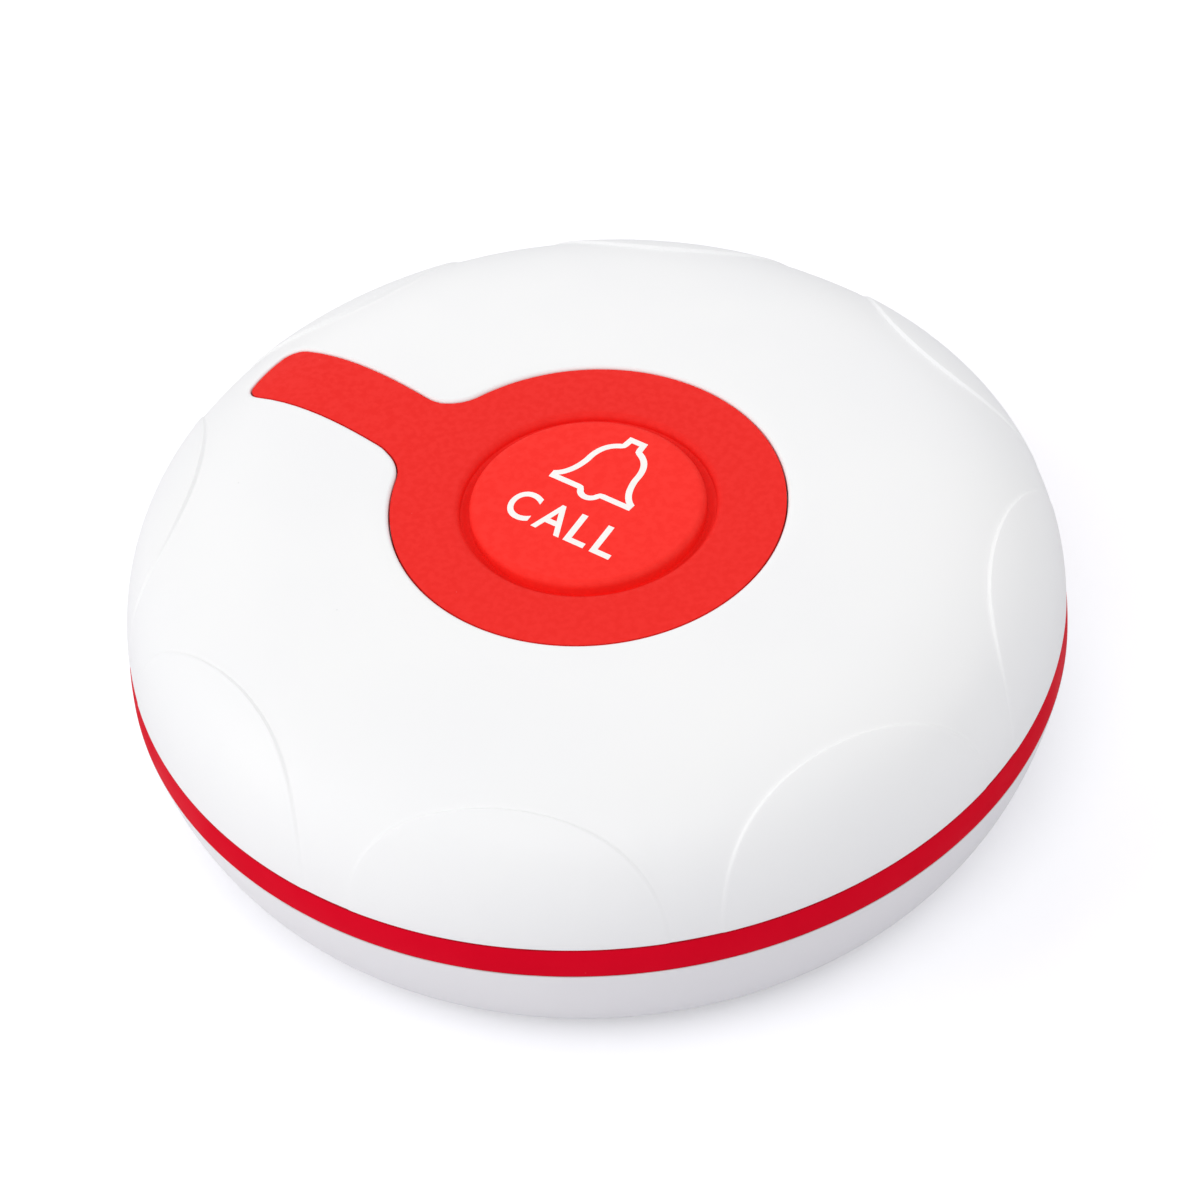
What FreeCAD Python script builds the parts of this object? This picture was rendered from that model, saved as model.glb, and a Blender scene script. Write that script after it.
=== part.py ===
import FreeCAD, Part
import math
import os

# Waiter call button: a round white table-top housing with a red band round its waist, eight low
# petals on its shoulder, and a red silicone pad let into its top in the shape of a keyhole.
# Pressing the round middle of the pad drives a plunger onto a tact switch on the board inside.
# Millimetres. +Z is up, the origin is the middle of the foot ring on the table.
# +X is the way the print on the button reads, and the tail of the pad points along -X.

# Overall sizes
rim_radius = 40.0
rim_level = 15.5
crown_height = 11.7
camber = 0.8
shoulder_squareness_share = 10.0
shoulder_roundness_share = 2.05
wall = 2.0
band_height = 3.05
band_bulge = 0.14
band_crown = 0.06
overrun = 1.0
flat_gap = 0.1

# Petals on the shoulder
petal_count = 8
petal_raise = 0.4
petal_foot_step = 0.04
petal_radius = 26.4
petal_rim_gap = 5.9

# Red pad with its tail, let into the top
pad_radius = 16.7
pad_thickness = 1.3
pad_reveal = 0.3
pad_side_gap = 0.08
pad_bore_radius = 11.0
tail_half_width = 3.4
tail_rim_gap = 6.0
tail_end_bow = 0.7
tail_corner = 1.1
neck_fillet = 3.5
peg_radius = 1.0
peg_circle = 13.8
peg_count = 4
peg_length = 2.6
peg_gap = 0.1

# Tray moulded in the cover under the pad, and the guide tube for the plunger
tray_floor = 1.4
tray_margin = 1.8
tray_bore_radius = 10.5
guide_bore_radius = 9.9
guide_wall = 1.4
guide_length = 5.6

# Round button in the middle of the pad, and the thin web that carries it
button_radius = 10.0
button_thickness = 1.8
button_stand = 0.45
button_crown = 0.06
button_round = 0.55
button_travel = 0.8
web_thickness = 0.35
web_drop = 0.5
web_dip = 0.3
web_gap = 0.06

# Plunger behind the button
plunger_clearance = 0.15
plunger_top = 1.3
plunger_wall = 1.2
plunger_skirt = 4.6
plunger_post_radius = 2.2
plunger_rib = 1.0
plunger_rib_depth = 3.4
plunger_rib_count = 4

# Bottom shell
base_level = 0.6
base_plate = 2.0
bowl_inset = 8.1
bowl_lean = 1.1
bowl_pull = 5.3
bowl_sweep = 4.5
lip_wall = 1.4
lip_gap = 0.3
lip_rise = 1.4
shelf_depth = 2.2
lid_collar = 2.0

# Foot ring
foot_width = 4.0
foot_edge_gap = 1.0
foot_seat = 0.6
foot_side_gap = 0.1
foot_round = 0.25

# Battery lid with its bayonet tabs and gasket
lid_radius = 15.0
lid_gap = 0.25
lid_recess = 0.2
lid_thickness = 1.2
lid_neck_radius = 13.0
lid_neck_wall = 1.4
ledge_thickness = 0.8
gasket_thickness = 0.5
gasket_inset = 0.2
gasket_gap = 0.1
tab_count = 3
tab_angle = 26.0
tab_reach = 1.7
tab_thickness = 0.8
tab_gap = 0.2
lid_turn = 30.0
notch_margin_angle = 3.0
coin_slot_length = 15.0
coin_slot_width = 2.4
coin_slot_depth = 0.7

# Coin cell with its holder and contacts
cell_radius = 12.25
cell_height = 5.0
cell_cap_radius = 10.2
cell_cap_height = 0.4
cell_round = 0.4
cell_gap = 0.2
holder_bore_gap = 0.35
holder_wall = 1.3
holder_roof = 0.7
holder_window_radius = 8.5
holder_slot = 7.0
strip_thickness = 0.3
strip_width = 5.0
finger_width = 3.0
finger_length = 6.5
contact_gap = 0.05

# Circuit board
board_edge = 1.2
board_thickness = 1.6
contact_room = 1.2
boss_clearance = 0.5

# Tact switch
switch_side = 6.0
switch_height = 3.5
switch_cover_thickness = 0.3
switch_stem_radius = 1.75
switch_stem_rise = 0.8
switch_stem_sink = 0.6
switch_travel = 0.25
stem_clearance = 0.06
switch_leg_width = 0.7
switch_leg_thickness = 0.3
switch_leg_reach = 1.2
switch_leg_spacing = 4.5

# Radio parts on the board
chip_length = 8.7
chip_width = 3.9
chip_height = 1.5
chip_place_x = 9.5
chip_place_y = -9.0
chip_pins_per_side = 7
chip_pin_pitch = 1.27
chip_pin_width = 0.4
chip_pin_reach = 1.0
chip_pin_thickness = 0.2
crystal_length = 11.0
crystal_width = 4.6
crystal_height = 3.5
crystal_flange = 0.4
crystal_place_x = -6.5
crystal_place_y = -14.0
capacitor_radius = 2.5
capacitor_height = 5.4
capacitor_base = 0.8
capacitor_place_x = 13.5
capacitor_place_y = 7.5
antenna_wire_radius = 0.5
antenna_boss_gap = 1.6
antenna_height = 4.0
antenna_start_angle = 20.0
antenna_sweep = 128.0
smd_length = 1.6
smd_width = 0.8
smd_height = 0.5

# Indicator lamp under the tail
lamp_radius = 1.5
lamp_height = 4.4
lamp_flange_radius = 1.9
lamp_flange_height = 0.8
lamp_tail_gap = 7.0
lamp_hole_gap = 0.15
lamp_lead_side = 0.5
lamp_lead_spacing = 2.54
lamp_lead_tail = 1.0

# Screws and the posts that take them
screw_collar_gap = 1.45
screw_count = 4
screw_shank_radius = 1.3
screw_head_radius = 2.5
screw_head_height = 1.7
screw_bite = 6.0
screw_pilot_gap = 0.04
screw_hole_gap = 0.3
boss_radius = 3.0
post_wall = 1.0
post_gap = 0.1
screw_seat = 4.4
board_screw_offset = 0.5
board_screw_angles = (0.0, 90.0, 270.0)
board_screw_shank_radius = 1.0
board_screw_head_radius = 2.0
board_screw_head_height = 1.2
board_screw_bite = 4.5
board_post_radius = 2.6
drive_width_share = 0.22
drive_length_share = 0.72
drive_depth_share = 0.6
head_round_share = 0.4

# Points along the shoulder curve, as shares of the rim radius
shoulder_shares = (0.0, 0.3, 0.55, 0.7, 0.8, 0.87, 0.92, 0.955, 0.98, 0.993, 1.0)
# Small parts on the board: angle in degrees, and distance as a share of the board's radius
small_part_shares = ((152, 0.50), (168, 0.62), (185, 0.50), (200, 0.62), (205, 0.45), (62, 0.60),
                     (75, 0.52), (105, 0.52), (118, 0.62), (285, 0.66), (298, 0.74), (340, 0.72))

# Radii worked out from the sizes above
petal_apex_radius = rim_radius - petal_rim_gap
tail_reach = rim_radius - tail_rim_gap
lamp_place = tail_reach - lamp_tail_gap
collar_radius = lid_radius + lid_gap + lid_collar
screw_bore_radius = screw_head_radius + screw_hole_gap
screw_post_radius = screw_bore_radius + post_wall
screw_circle = collar_radius + screw_collar_gap + screw_post_radius
board_screw_circle = screw_circle + board_screw_offset
antenna_radius = screw_circle + boss_radius + antenna_boss_gap + antenna_wire_radius
board_radius = antenna_radius + board_edge
base_radius = rim_radius + band_bulge
base_flat_radius = base_radius - bowl_inset
foot_outer_radius = base_flat_radius - foot_edge_gap
foot_inner_radius = foot_outer_radius - foot_width

# Levels worked out from the sizes above
Z = FreeCAD.Vector(0, 0, 1)
band_level = rim_level - band_height
plate_top = base_level + base_plate
lid_level = base_level + lid_recess
lid_top = lid_level + lid_thickness
ledge_level = lid_top + gasket_thickness + gasket_gap
collar_top = ledge_level + ledge_thickness
tab_level = collar_top + tab_gap
tab_top = tab_level + tab_thickness
cell_level = tab_top + cell_gap
cell_top = cell_level + cell_height
board_level = cell_top + contact_room
board_top = board_level + board_thickness
switch_top = board_top + switch_height
stem_top = switch_top + switch_stem_rise
board_screw_level = board_level - board_screw_head_height
boss_level = board_screw_level
post_top = boss_level - post_gap
screw_top = post_top + screw_bite
above = rim_level + crown_height + overrun
pad_drop = pad_reveal + pad_thickness
tray_drop = pad_drop + flat_gap


def vec(x, y, z):
    return FreeCAD.Vector(x, y, z)


def dome_height(share, crown=crown_height):
    """Height above the rim at a share of the rim's radius: a flat crown with a round shoulder."""
    shoulder = (1 - share ** shoulder_squareness_share) ** (1 / shoulder_roundness_share)
    return (crown - camber) * shoulder + camber * (1 - share ** 2)


# Levels that follow the dome
pad_top = rim_level + dome_height(pad_bore_radius / rim_radius) - pad_reveal
button_top = pad_top + button_stand
guide_top = pad_top - pad_thickness - flat_gap - tray_floor / 2
guide_level = guide_top - guide_length
lamp_top = rim_level + dome_height(lamp_place / rim_radius) - tray_drop - flat_gap


def line(a, b):
    return Part.LineSegment(vec(a[0], 0, a[1]), vec(b[0], 0, b[1])).toShape()


def arc(a, middle, b):
    points = [vec(p[0], 0, p[1]) for p in (a, middle, b)]
    return Part.Arc(*points).toShape()


def curve(points, start, end):
    """A smooth curve through points given as radius and height, with its direction at each end."""
    spline = Part.BSplineCurve()
    spline.interpolate(Points=[vec(r, 0, z) for r, z in points],
                       InitialTangent=vec(start[0], 0, start[1]), FinalTangent=vec(end[0], 0, end[1]))
    return spline.toShape()


def turned(edges):
    """Solid of revolution about Z from edges that close an outline of radius and height."""
    wire = Part.Wire(Part.sortEdges(edges)[0])
    return Part.Face(wire).revolve(vec(0, 0, 0), Z, 360).Solids[0]


def disc(radius, low, high, x=0, y=0):
    return Part.makeCylinder(radius, high - low, vec(x, y, low), Z)


def tube(outer, inner, low, high, x=0, y=0):
    hole = disc(inner, low - overrun, high + overrun, x, y)
    return disc(outer, low, high, x, y).cut(hole)


def block(length, width, low, high, x=0, y=0):
    corner = vec(x - length / 2, y - width / 2, low)
    return Part.makeBox(length, width, high - low, corner)


def fused(shapes):
    shapes = list(shapes)
    return shapes[0].multiFuse(shapes[1:]).removeSplitter() if len(shapes) > 1 else shapes[0]


def spun(shape, angle):
    copy = shape.copy()
    copy.rotate(vec(0, 0, 0), Z, angle)
    return copy


def ring_of(shape, count, first=0.0):
    return [spun(shape, first + 360.0 * i / count) for i in range(count)]


def on_circle(radius, angle):
    turn = math.radians(angle)
    return radius * math.cos(turn), radius * math.sin(turn)


def upright_edges(solid, places):
    """The vertical edges of a solid that stand at the given places in plan."""
    found = []
    for edge in solid.Edges:
        start, end = edge.Vertexes[0].Point, edge.Vertexes[-1].Point
        upright = math.hypot(start.x - end.x, start.y - end.y) < pad_side_gap
        near = any(math.hypot(start.x - x, start.y - y) < pad_side_gap for x, y in places)
        if upright and near and abs(start.z - end.z) > pad_side_gap:
            found.append(edge)
    return found


def write(name, shapes):
    """Write one node: a single solid, or a group of separate solids of one kind."""
    solids = []
    for shape in (shapes if isinstance(shapes, list) else [shapes]):
        solids += shape.Solids
    node = solids[0] if len(solids) == 1 else Part.Compound(solids)
    assert node.isValid(), name
    node.exportStep("parts/%s.step" % name)
    print("%-18s solids %2d  volume %9.2f  z %6.2f to %6.2f" % (
        name, len(solids), node.Volume, node.BoundBox.ZMin, node.BoundBox.ZMax))


def dome(radius=rim_radius, crown=crown_height, lowered=0.0, foot=rim_level - overrun):
    """Everything under the dome's curve, down to a flat foot below the rim's level."""
    points = [(radius * s, rim_level + dome_height(s, crown)) for s in shoulder_shares]
    edges = [curve(points, (1, 0), (0, -1)), line((radius, rim_level), (radius, foot)),
             line((radius, foot), (0, foot)), line((0, foot), (0, rim_level + crown))]
    solid = turned(edges)
    solid.translate(vec(0, 0, -lowered))
    return solid


def keyhole(grow, low, high):
    """Prism over the keyhole outline of the pad, grown all round: a disc with a tail along -X."""
    half = tail_half_width + grow
    reach = tail_reach + grow
    shoulder = reach - tail_end_bow
    corners = [vec(0, -half, low), vec(-shoulder, -half, low), vec(-reach, 0, low),
               vec(-shoulder, half, low), vec(0, half, low)]
    edges = [Part.LineSegment(corners[0], corners[1]), Part.Arc(*corners[1:4]),
             Part.LineSegment(corners[3], corners[4]), Part.LineSegment(corners[4], corners[0])]
    outline = Part.Wire([e.toShape() for e in edges])
    tail = Part.Face(outline).extrude(vec(0, 0, high - low))
    solid = fused([disc(pad_radius + grow, low, high), tail])
    neck = math.sqrt((pad_radius + grow) ** 2 - half ** 2)
    solid = solid.makeFillet(neck_fillet - grow, upright_edges(solid, [(-neck, half), (-neck, -half)]))
    ends = upright_edges(solid, [(-shoulder, half), (-shoulder, -half)])
    return solid.makeFillet(tail_corner + grow, ends)


def screw(shank_radius, head_radius, head_height, head_top, tip, x, y):
    """A pan-head screw that points up, with a cross recess in its head."""
    head_low = head_top - head_height
    head = disc(head_radius, head_low, head_top, x, y)
    rim = [e for e in head.Edges if abs(e.BoundBox.ZMax - head_low) < pad_side_gap]
    head = head.makeFillet(head_height * head_round_share, rim)
    deep = head_low + head_height * drive_depth_share
    long, narrow = head_radius * 2 * drive_length_share, head_radius * 2 * drive_width_share
    cross = fused([block(long, narrow, head_low - overrun, deep, x, y),
                   block(narrow, long, head_low - overrun, deep, x, y)])
    point = Part.makeCone(shank_radius, shank_radius / 2, shank_radius, vec(x, y, tip), Z)
    return fused([head.cut(cross), disc(shank_radius, head_top, tip, x, y), point])


def screw_places():
    step = 360.0 / screw_count
    return [on_circle(screw_circle, step / 2 + step * i) for i in range(screw_count)]


def board_screw_places():
    return [on_circle(board_screw_circle, angle) for angle in board_screw_angles]


def pegs(radius):
    """The pad's locating pegs, or the holes for them."""
    top = pad_top - pad_thickness / 2
    one = disc(radius, top - peg_length, top, peg_circle)
    return ring_of(one, peg_count, 180.0 / peg_count)


# White cover: dome with petals, tray for the pad, guide tube, and posts for the screws
def top_cover():
    cutter = disc(petal_radius, rim_level, above + petal_raise, petal_apex_radius + petal_radius)
    cutters = Part.Compound(ring_of(cutter, petal_count, 180.0 / petal_count))
    petals = dome(rim_radius + petal_foot_step, crown_height + petal_raise).common(cutters)
    shell = fused([dome()] + petals.Solids).cut(dome(rim_radius - wall, crown_height - wall))
    shell = shell.common(disc(rim_radius + overrun, rim_level, above))
    tray = keyhole(tray_margin, rim_level, above).common(dome(lowered=flat_gap))
    tray = tray.cut(dome(lowered=tray_drop + tray_floor))
    guide = tube(guide_bore_radius + guide_wall, guide_bore_radius, guide_level, guide_top)
    middle = (rim_radius - wall / 2, crown_height - wall / 2)
    bosses = dome(*middle, foot=boss_level).common(
        Part.Compound([disc(boss_radius, boss_level, above, x, y) for x, y in screw_places()]))
    posts = dome(*middle, foot=board_top).common(
        Part.Compound([disc(board_post_radius, board_top, above, x, y) for x, y in board_screw_places()]))
    cover = fused([shell, tray, guide] + bosses.Solids + posts.Solids)
    pocket = keyhole(pad_side_gap, rim_level, above).cut(dome(lowered=tray_drop))
    hole = screw_shank_radius + screw_pilot_gap
    board_hole = board_screw_shank_radius + screw_pilot_gap
    cuts = [pocket, disc(tray_bore_radius, guide_top - tray_floor / 2, above),
            disc(guide_bore_radius, rim_level, above),
            disc(lamp_radius + lamp_hole_gap, rim_level, above, -lamp_place)]
    cuts += [disc(hole, boss_level - overrun, screw_top + overrun * 2, x, y) for x, y in screw_places()]
    cuts += [disc(board_hole, board_top - overrun, board_top + board_screw_bite + overrun * 2, x, y)
             for x, y in board_screw_places()]
    cuts += pegs(peg_radius + peg_gap)
    for cut in cuts:
        cover = cover.cut(cut)
    return cover


# Red silicone pad: the surround of the button with its tail
def button_pad():
    pad = keyhole(0, rim_level, above).common(dome(lowered=pad_reveal))
    pad = pad.cut(dome(lowered=pad_drop))
    pad = fused([pad] + pegs(peg_radius))
    return pad.cut(disc(pad_bore_radius, rim_level, above))


# Thin rolled web that lets the button move in the pad
def button_web():
    inner, outer = button_radius + web_gap, pad_bore_radius - web_gap
    middle = (inner + outer) / 2
    high = pad_top - web_drop
    low = high - web_thickness
    return turned([arc((inner, high), (middle, high - web_dip), (outer, high)),
                   line((outer, high), (outer, low)),
                   arc((outer, low), (middle, low - web_dip), (inner, low)),
                   line((inner, low), (inner, high))])


# Round button that the finger presses
def call_button():
    low = button_top - button_thickness
    flat = button_radius - button_round
    lean = button_round * (1 - math.sqrt(2) / 2)
    side = (button_radius, button_top - button_round)
    middle = (button_radius - lean, button_top - lean)
    crown = (0, button_top + button_crown)
    return turned([line((0, low), (button_radius, low)), line((button_radius, low), side),
                   arc(side, middle, (flat, button_top)),
                   curve([(flat, button_top), crown], (-1, 0), (-1, 0)), line(crown, (0, low))])


# Stiff plunger behind the button: a cap with a post and ribs, sliding in the guide tube
def button_plunger():
    radius = guide_bore_radius - plunger_clearance
    top = button_top - button_thickness
    under = top - plunger_top
    cap = disc(radius, under, top)
    skirt = tube(radius, radius - plunger_wall, under - plunger_skirt, under)
    post = disc(plunger_post_radius, stem_top + button_travel - switch_travel + contact_gap, under)
    rib = block(radius - plunger_wall / 2, plunger_rib, under - plunger_rib_depth, under,
                (radius - plunger_wall / 2) / 2)
    return fused([cap, skirt, post] + ring_of(rib, plunger_rib_count))


# Red band round the waist
def trim_ring():
    inner = rim_radius - wall
    middle = (rim_radius + base_radius) / 2 + band_crown
    half = (rim_level + band_level) / 2
    points = [(rim_radius, rim_level), (middle, half), (base_radius, band_level)]
    outside = curve(points, (0, -1), (0, -1))
    return turned([outside,
                   line((base_radius, band_level), (inner, band_level)),
                   line((inner, band_level), (inner, rim_level)),
                   line((inner, rim_level), (rim_radius, rim_level))])


def bowl(inset, floor):
    """Solid bowl under the band: it leans in from the band's foot and rounds into a flat floor."""
    top, flat = base_radius - inset, base_flat_radius - inset
    poles = [(top, band_level), (top - bowl_lean, band_level - bowl_pull),
             (flat + bowl_sweep, floor), (flat, floor)]
    side = Part.BezierCurve()
    side.setPoles([vec(r, 0, z) for r, z in poles])
    return turned([side.toShape(), line((flat, floor), (0, floor)),
                   line((0, floor), (0, band_level)), line((0, band_level), (top, band_level))])


# White bottom shell with the lip for the cover, screw posts, lid opening and foot seat
def bottom_shell():
    shell = bowl(0, base_level).cut(bowl(wall, plate_top))
    lip_outer = rim_radius - wall - lip_gap
    lip_inner = lip_outer - lip_wall
    lip = tube(lip_outer, lip_inner, band_level - shelf_depth, rim_level + lip_rise)
    shelf = tube(base_radius - wall / 2, lip_inner, band_level - shelf_depth, band_level)
    collar = disc(collar_radius, base_level, collar_top)
    posts = [disc(screw_post_radius, base_level, post_top, x, y) for x, y in screw_places()]
    shell = fused([shell, lip, shelf, collar] + posts)
    seat = tube(foot_outer_radius + foot_side_gap, foot_inner_radius - foot_side_gap,
                base_level - overrun, base_level + foot_seat)
    cuts = [disc(lid_radius + lid_gap, base_level - overrun, ledge_level),
            disc(lid_neck_radius + lid_gap, base_level - overrun, collar_top + overrun), seat]
    notch = lid_tab(lid_gap, notch_margin_angle, ledge_level - overrun, collar_top + overrun)
    cuts += ring_of(notch, tab_count, lid_turn)
    cuts += [disc(screw_bore_radius, base_level - overrun, screw_seat, x, y) for x, y in screw_places()]
    cuts += [disc(screw_shank_radius + screw_hole_gap, screw_seat - overrun, post_top + overrun, x, y)
             for x, y in screw_places()]
    for cut in cuts:
        shell = shell.cut(cut)
    return shell


# Soft ring that the button stands on
def foot_ring():
    ring = tube(foot_outer_radius, foot_inner_radius, 0, base_level + foot_seat)
    low = [e for e in ring.Edges if e.BoundBox.ZMax < foot_round]
    return ring.makeFillet(foot_round, low)


def lid_tab(grow, margin, low, high):
    """One bayonet tab of the lid, or the notch that lets it through."""
    outer = lid_neck_radius + tab_reach + grow
    tab = Part.makeCylinder(outer, high - low, vec(0, 0, low), Z, tab_angle + 2 * margin)
    tab = spun(tab, -tab_angle / 2 - margin)
    return tab.cut(disc(lid_neck_radius - lid_neck_wall / 2, low - overrun, high + overrun))


# Twist-off battery lid with a coin slot
def battery_lid():
    plate = disc(lid_radius, lid_level, lid_top)
    neck = tube(lid_neck_radius, lid_neck_radius - lid_neck_wall, lid_top - lid_thickness / 2, tab_top)
    tabs = ring_of(lid_tab(0, 0, tab_level, tab_top), tab_count)
    lid = fused([plate, neck] + tabs)
    ends = (coin_slot_length - coin_slot_width) / 2
    deep = lid_level + coin_slot_depth
    slot = fused([block(ends * 2, coin_slot_width, lid_level - overrun, deep),
                  disc(coin_slot_width / 2, lid_level - overrun, deep, ends),
                  disc(coin_slot_width / 2, lid_level - overrun, deep, -ends)])
    return lid.cut(slot)


# Flat gasket under the lid's rim
def lid_gasket():
    outer, inner = lid_radius - gasket_inset, lid_neck_radius + gasket_inset
    return tube(outer, inner, lid_top, lid_top + gasket_thickness)


# Coin cell: steel can with a smaller cap on top
def coin_cell():
    can = disc(cell_radius, cell_level, cell_top - cell_cap_height)
    rims = [e for e in can.Edges if e.Length > cell_radius * 2]
    can = can.makeFillet(cell_round, rims)
    return fused([can, disc(cell_cap_radius, cell_top - cell_cap_height * 2, cell_top)])


# Cell holder under the board, open at one side for the contact
def battery_holder():
    bore = cell_radius + holder_bore_gap
    low = cell_level + flat_gap
    ring = tube(bore + holder_wall, bore, low, board_level)
    roof = tube(bore + holder_wall / 2, holder_window_radius, board_level - holder_roof, board_level)
    window = block(bore, holder_slot, low - overrun, board_level + overrun, bore + holder_wall)
    thumb = block(bore, holder_slot, low - overrun, cell_top, -bore - holder_wall)
    return fused([ring, roof]).cut(window).cut(thumb)


def strip(corners, width):
    """A bent metal strip from its outline of length and height, as wide as given along Y."""
    points = [vec(x, -width / 2, z) for x, z in corners]
    outline = Part.makePolygon(points + points[:1])
    return Part.Face(outline).extrude(vec(0, width, 0))


# Leaf that presses on the side of the cell
def positive_contact():
    inner = cell_radius + contact_gap
    outer = inner + strip_thickness
    low, high = cell_level + strip_thickness * 3, board_level
    foot, under = outer + strip_width, high - strip_thickness
    return strip([(inner, low), (outer, low), (outer, under), (foot, under),
                  (foot, high), (inner, high)], strip_width)


# Finger that presses on the cap of the cell
def negative_contact():
    low = cell_top + contact_gap
    root, high = -finger_length, board_level
    bend, under, tip = root + finger_width, high - strip_thickness, finger_width / 2
    return strip([(root, high), (root, under), (bend, under), (0, low), (tip, low),
                  (tip, low + strip_thickness), (0, low + strip_thickness),
                  (bend + strip_thickness, high)], finger_width)


# Round circuit board
def circuit_board():
    board = disc(board_radius, board_level, board_top)
    low, high = board_level - overrun, board_top + overrun
    holes = [disc(boss_radius + boss_clearance, low, high, x, y) for x, y in screw_places()]
    screw_hole = board_screw_shank_radius + screw_pilot_gap
    holes += [disc(screw_hole, low, high, x, y) for x, y in board_screw_places()]
    holes += [disc(lamp_lead_side, low, high, -lamp_place, y) for y in lead_places()]
    for hole in holes:
        board = board.cut(hole)
    return board


# Tact switch: body, steel cover, stem and legs
def switch_body():
    body = block(switch_side, switch_side, board_top, switch_top - switch_cover_thickness)
    well = switch_top - switch_stem_sink - switch_travel - contact_gap
    return body.cut(disc(switch_stem_radius + stem_clearance, well, switch_top))


def switch_cover():
    plate = block(switch_side, switch_side, switch_top - switch_cover_thickness, switch_top)
    return plate.cut(disc(switch_stem_radius + stem_clearance, board_top, stem_top))


def switch_stem():
    stem = disc(switch_stem_radius, switch_top - switch_stem_sink, stem_top)
    rim = [e for e in stem.Edges if e.BoundBox.ZMin > stem_top - flat_gap]
    return stem.makeFillet(switch_stem_rise / 4, rim)


def switch_legs():
    out = switch_side / 2 + switch_leg_reach / 2
    half = switch_leg_spacing / 2
    return [block(switch_leg_reach, switch_leg_width, board_top, board_top + switch_leg_thickness, x, y)
            for x in (-out, out) for y in (-half, half)]


# Radio chip and its pins
def radio_chip():
    low = board_top + chip_pin_thickness / 2
    return block(chip_length, chip_width, low, board_top + chip_height, chip_place_x, chip_place_y)


def chip_pins():
    pins = []
    first = chip_place_x - chip_pin_pitch * (chip_pins_per_side - 1) / 2
    for i in range(chip_pins_per_side):
        for side in (-1, 1):
            near = chip_place_y + side * (chip_width + chip_pin_thickness) / 2
            far = chip_place_y + side * (chip_width + chip_pin_reach) / 2
            x = first + chip_pin_pitch * i
            low, knee = board_top, board_top + chip_height / 2
            foot = block(chip_pin_width, chip_pin_reach, low, low + chip_pin_thickness, x, far)
            riser = block(chip_pin_width, chip_pin_thickness, low, knee, x, near)
            pins.append(fused([foot, riser]))
    return pins


# Crystal can, capacitor and the small parts round them
def crystal_can():
    def slab(grow, low, high):
        half = (crystal_length - crystal_width) / 2
        bar = block(half * 2, crystal_width + grow * 2, low, high, crystal_place_x, crystal_place_y)
        ends = [disc(crystal_width / 2 + grow, low, high, crystal_place_x + x, crystal_place_y)
                for x in (-half, half)]
        return fused([bar] + ends)
    return fused([slab(0, board_top, board_top + crystal_height),
                  slab(crystal_flange, board_top, board_top + crystal_flange)])


def capacitor():
    can = disc(capacitor_radius, board_top + capacitor_base, board_top + capacitor_height,
               capacitor_place_x, capacitor_place_y)
    top = [e for e in can.Edges if e.BoundBox.ZMin > board_top + capacitor_height - flat_gap]
    can = can.makeFillet(capacitor_base / 2, top)
    foot = block(capacitor_radius * 2, capacitor_radius * 2, board_top, board_top + capacitor_base,
                 capacitor_place_x, capacitor_place_y)
    return fused([can, foot])


def small_parts():
    parts = []
    for angle, share in small_part_shares:
        x, y = on_circle(board_radius * share, angle)
        parts.append(block(smd_length, smd_width, board_top, board_top + smd_height, x, y))
    return parts


# Loop of wire that sends the call
def antenna_loop():
    level = board_top + antenna_height
    loop = Part.makeTorus(antenna_radius, antenna_wire_radius, vec(0, 0, level), Z, 0, 360, antenna_sweep)
    shapes = [spun(loop, antenna_start_angle)]
    for angle in (antenna_start_angle, antenna_start_angle + antenna_sweep):
        x, y = on_circle(antenna_radius, angle)
        shapes.append(disc(antenna_wire_radius, board_top, level, x, y))
        shapes.append(Part.makeSphere(antenna_wire_radius, vec(x, y, level)))
    return fused(shapes)


# Indicator lamp under the tail, on long leads
def lead_places():
    return (-lamp_lead_spacing / 2, lamp_lead_spacing / 2)


def indicator_lamp():
    base = lamp_top - lamp_height
    flange = disc(lamp_flange_radius, base, base + lamp_flange_height, -lamp_place)
    body = disc(lamp_radius, base, lamp_top - lamp_radius, -lamp_place)
    tip = Part.makeSphere(lamp_radius, vec(-lamp_place, 0, lamp_top - lamp_radius))
    return fused([flange, body, tip])


def lamp_leads():
    low = board_level - lamp_lead_tail
    return [block(lamp_lead_side, lamp_lead_side, low, lamp_top - lamp_height, -lamp_place, y)
            for y in lead_places()]


# Screws that close the housing, and screws that hold the board to the cover
def housing_screws():
    return [screw(screw_shank_radius, screw_head_radius, screw_head_height, screw_seat, screw_top, x, y)
            for x, y in screw_places()]


def board_screws():
    tip = board_top + board_screw_bite
    return [screw(board_screw_shank_radius, board_screw_head_radius, board_screw_head_height, board_level,
                  tip, x, y) for x, y in board_screw_places()]


os.makedirs("parts", exist_ok=True)
for make in (top_cover, button_pad, button_web, call_button, button_plunger, trim_ring, bottom_shell,
             foot_ring, battery_lid, lid_gasket, coin_cell, battery_holder, positive_contact,
             negative_contact, circuit_board, switch_body, switch_cover, switch_stem, switch_legs,
             radio_chip, chip_pins, crystal_can, capacitor, small_parts, antenna_loop, indicator_lamp,
             lamp_leads, housing_screws, board_screws):
    write(make.__name__, make())
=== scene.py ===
# %% [markdown]
# The object is a waiter call button for a restaurant table: a low round housing in white plastic,
# a red band round its waist, and a red silicone pad in its top with a round push button.
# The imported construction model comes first. It holds every piece at its real size and place, so
# the new meshes take their sizes from its boxes, and nothing has to be fitted by eye afterwards.

# %% Load the construction model
import bpy
import math
import numpy as np
from mathutils import Matrix, Vector


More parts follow.
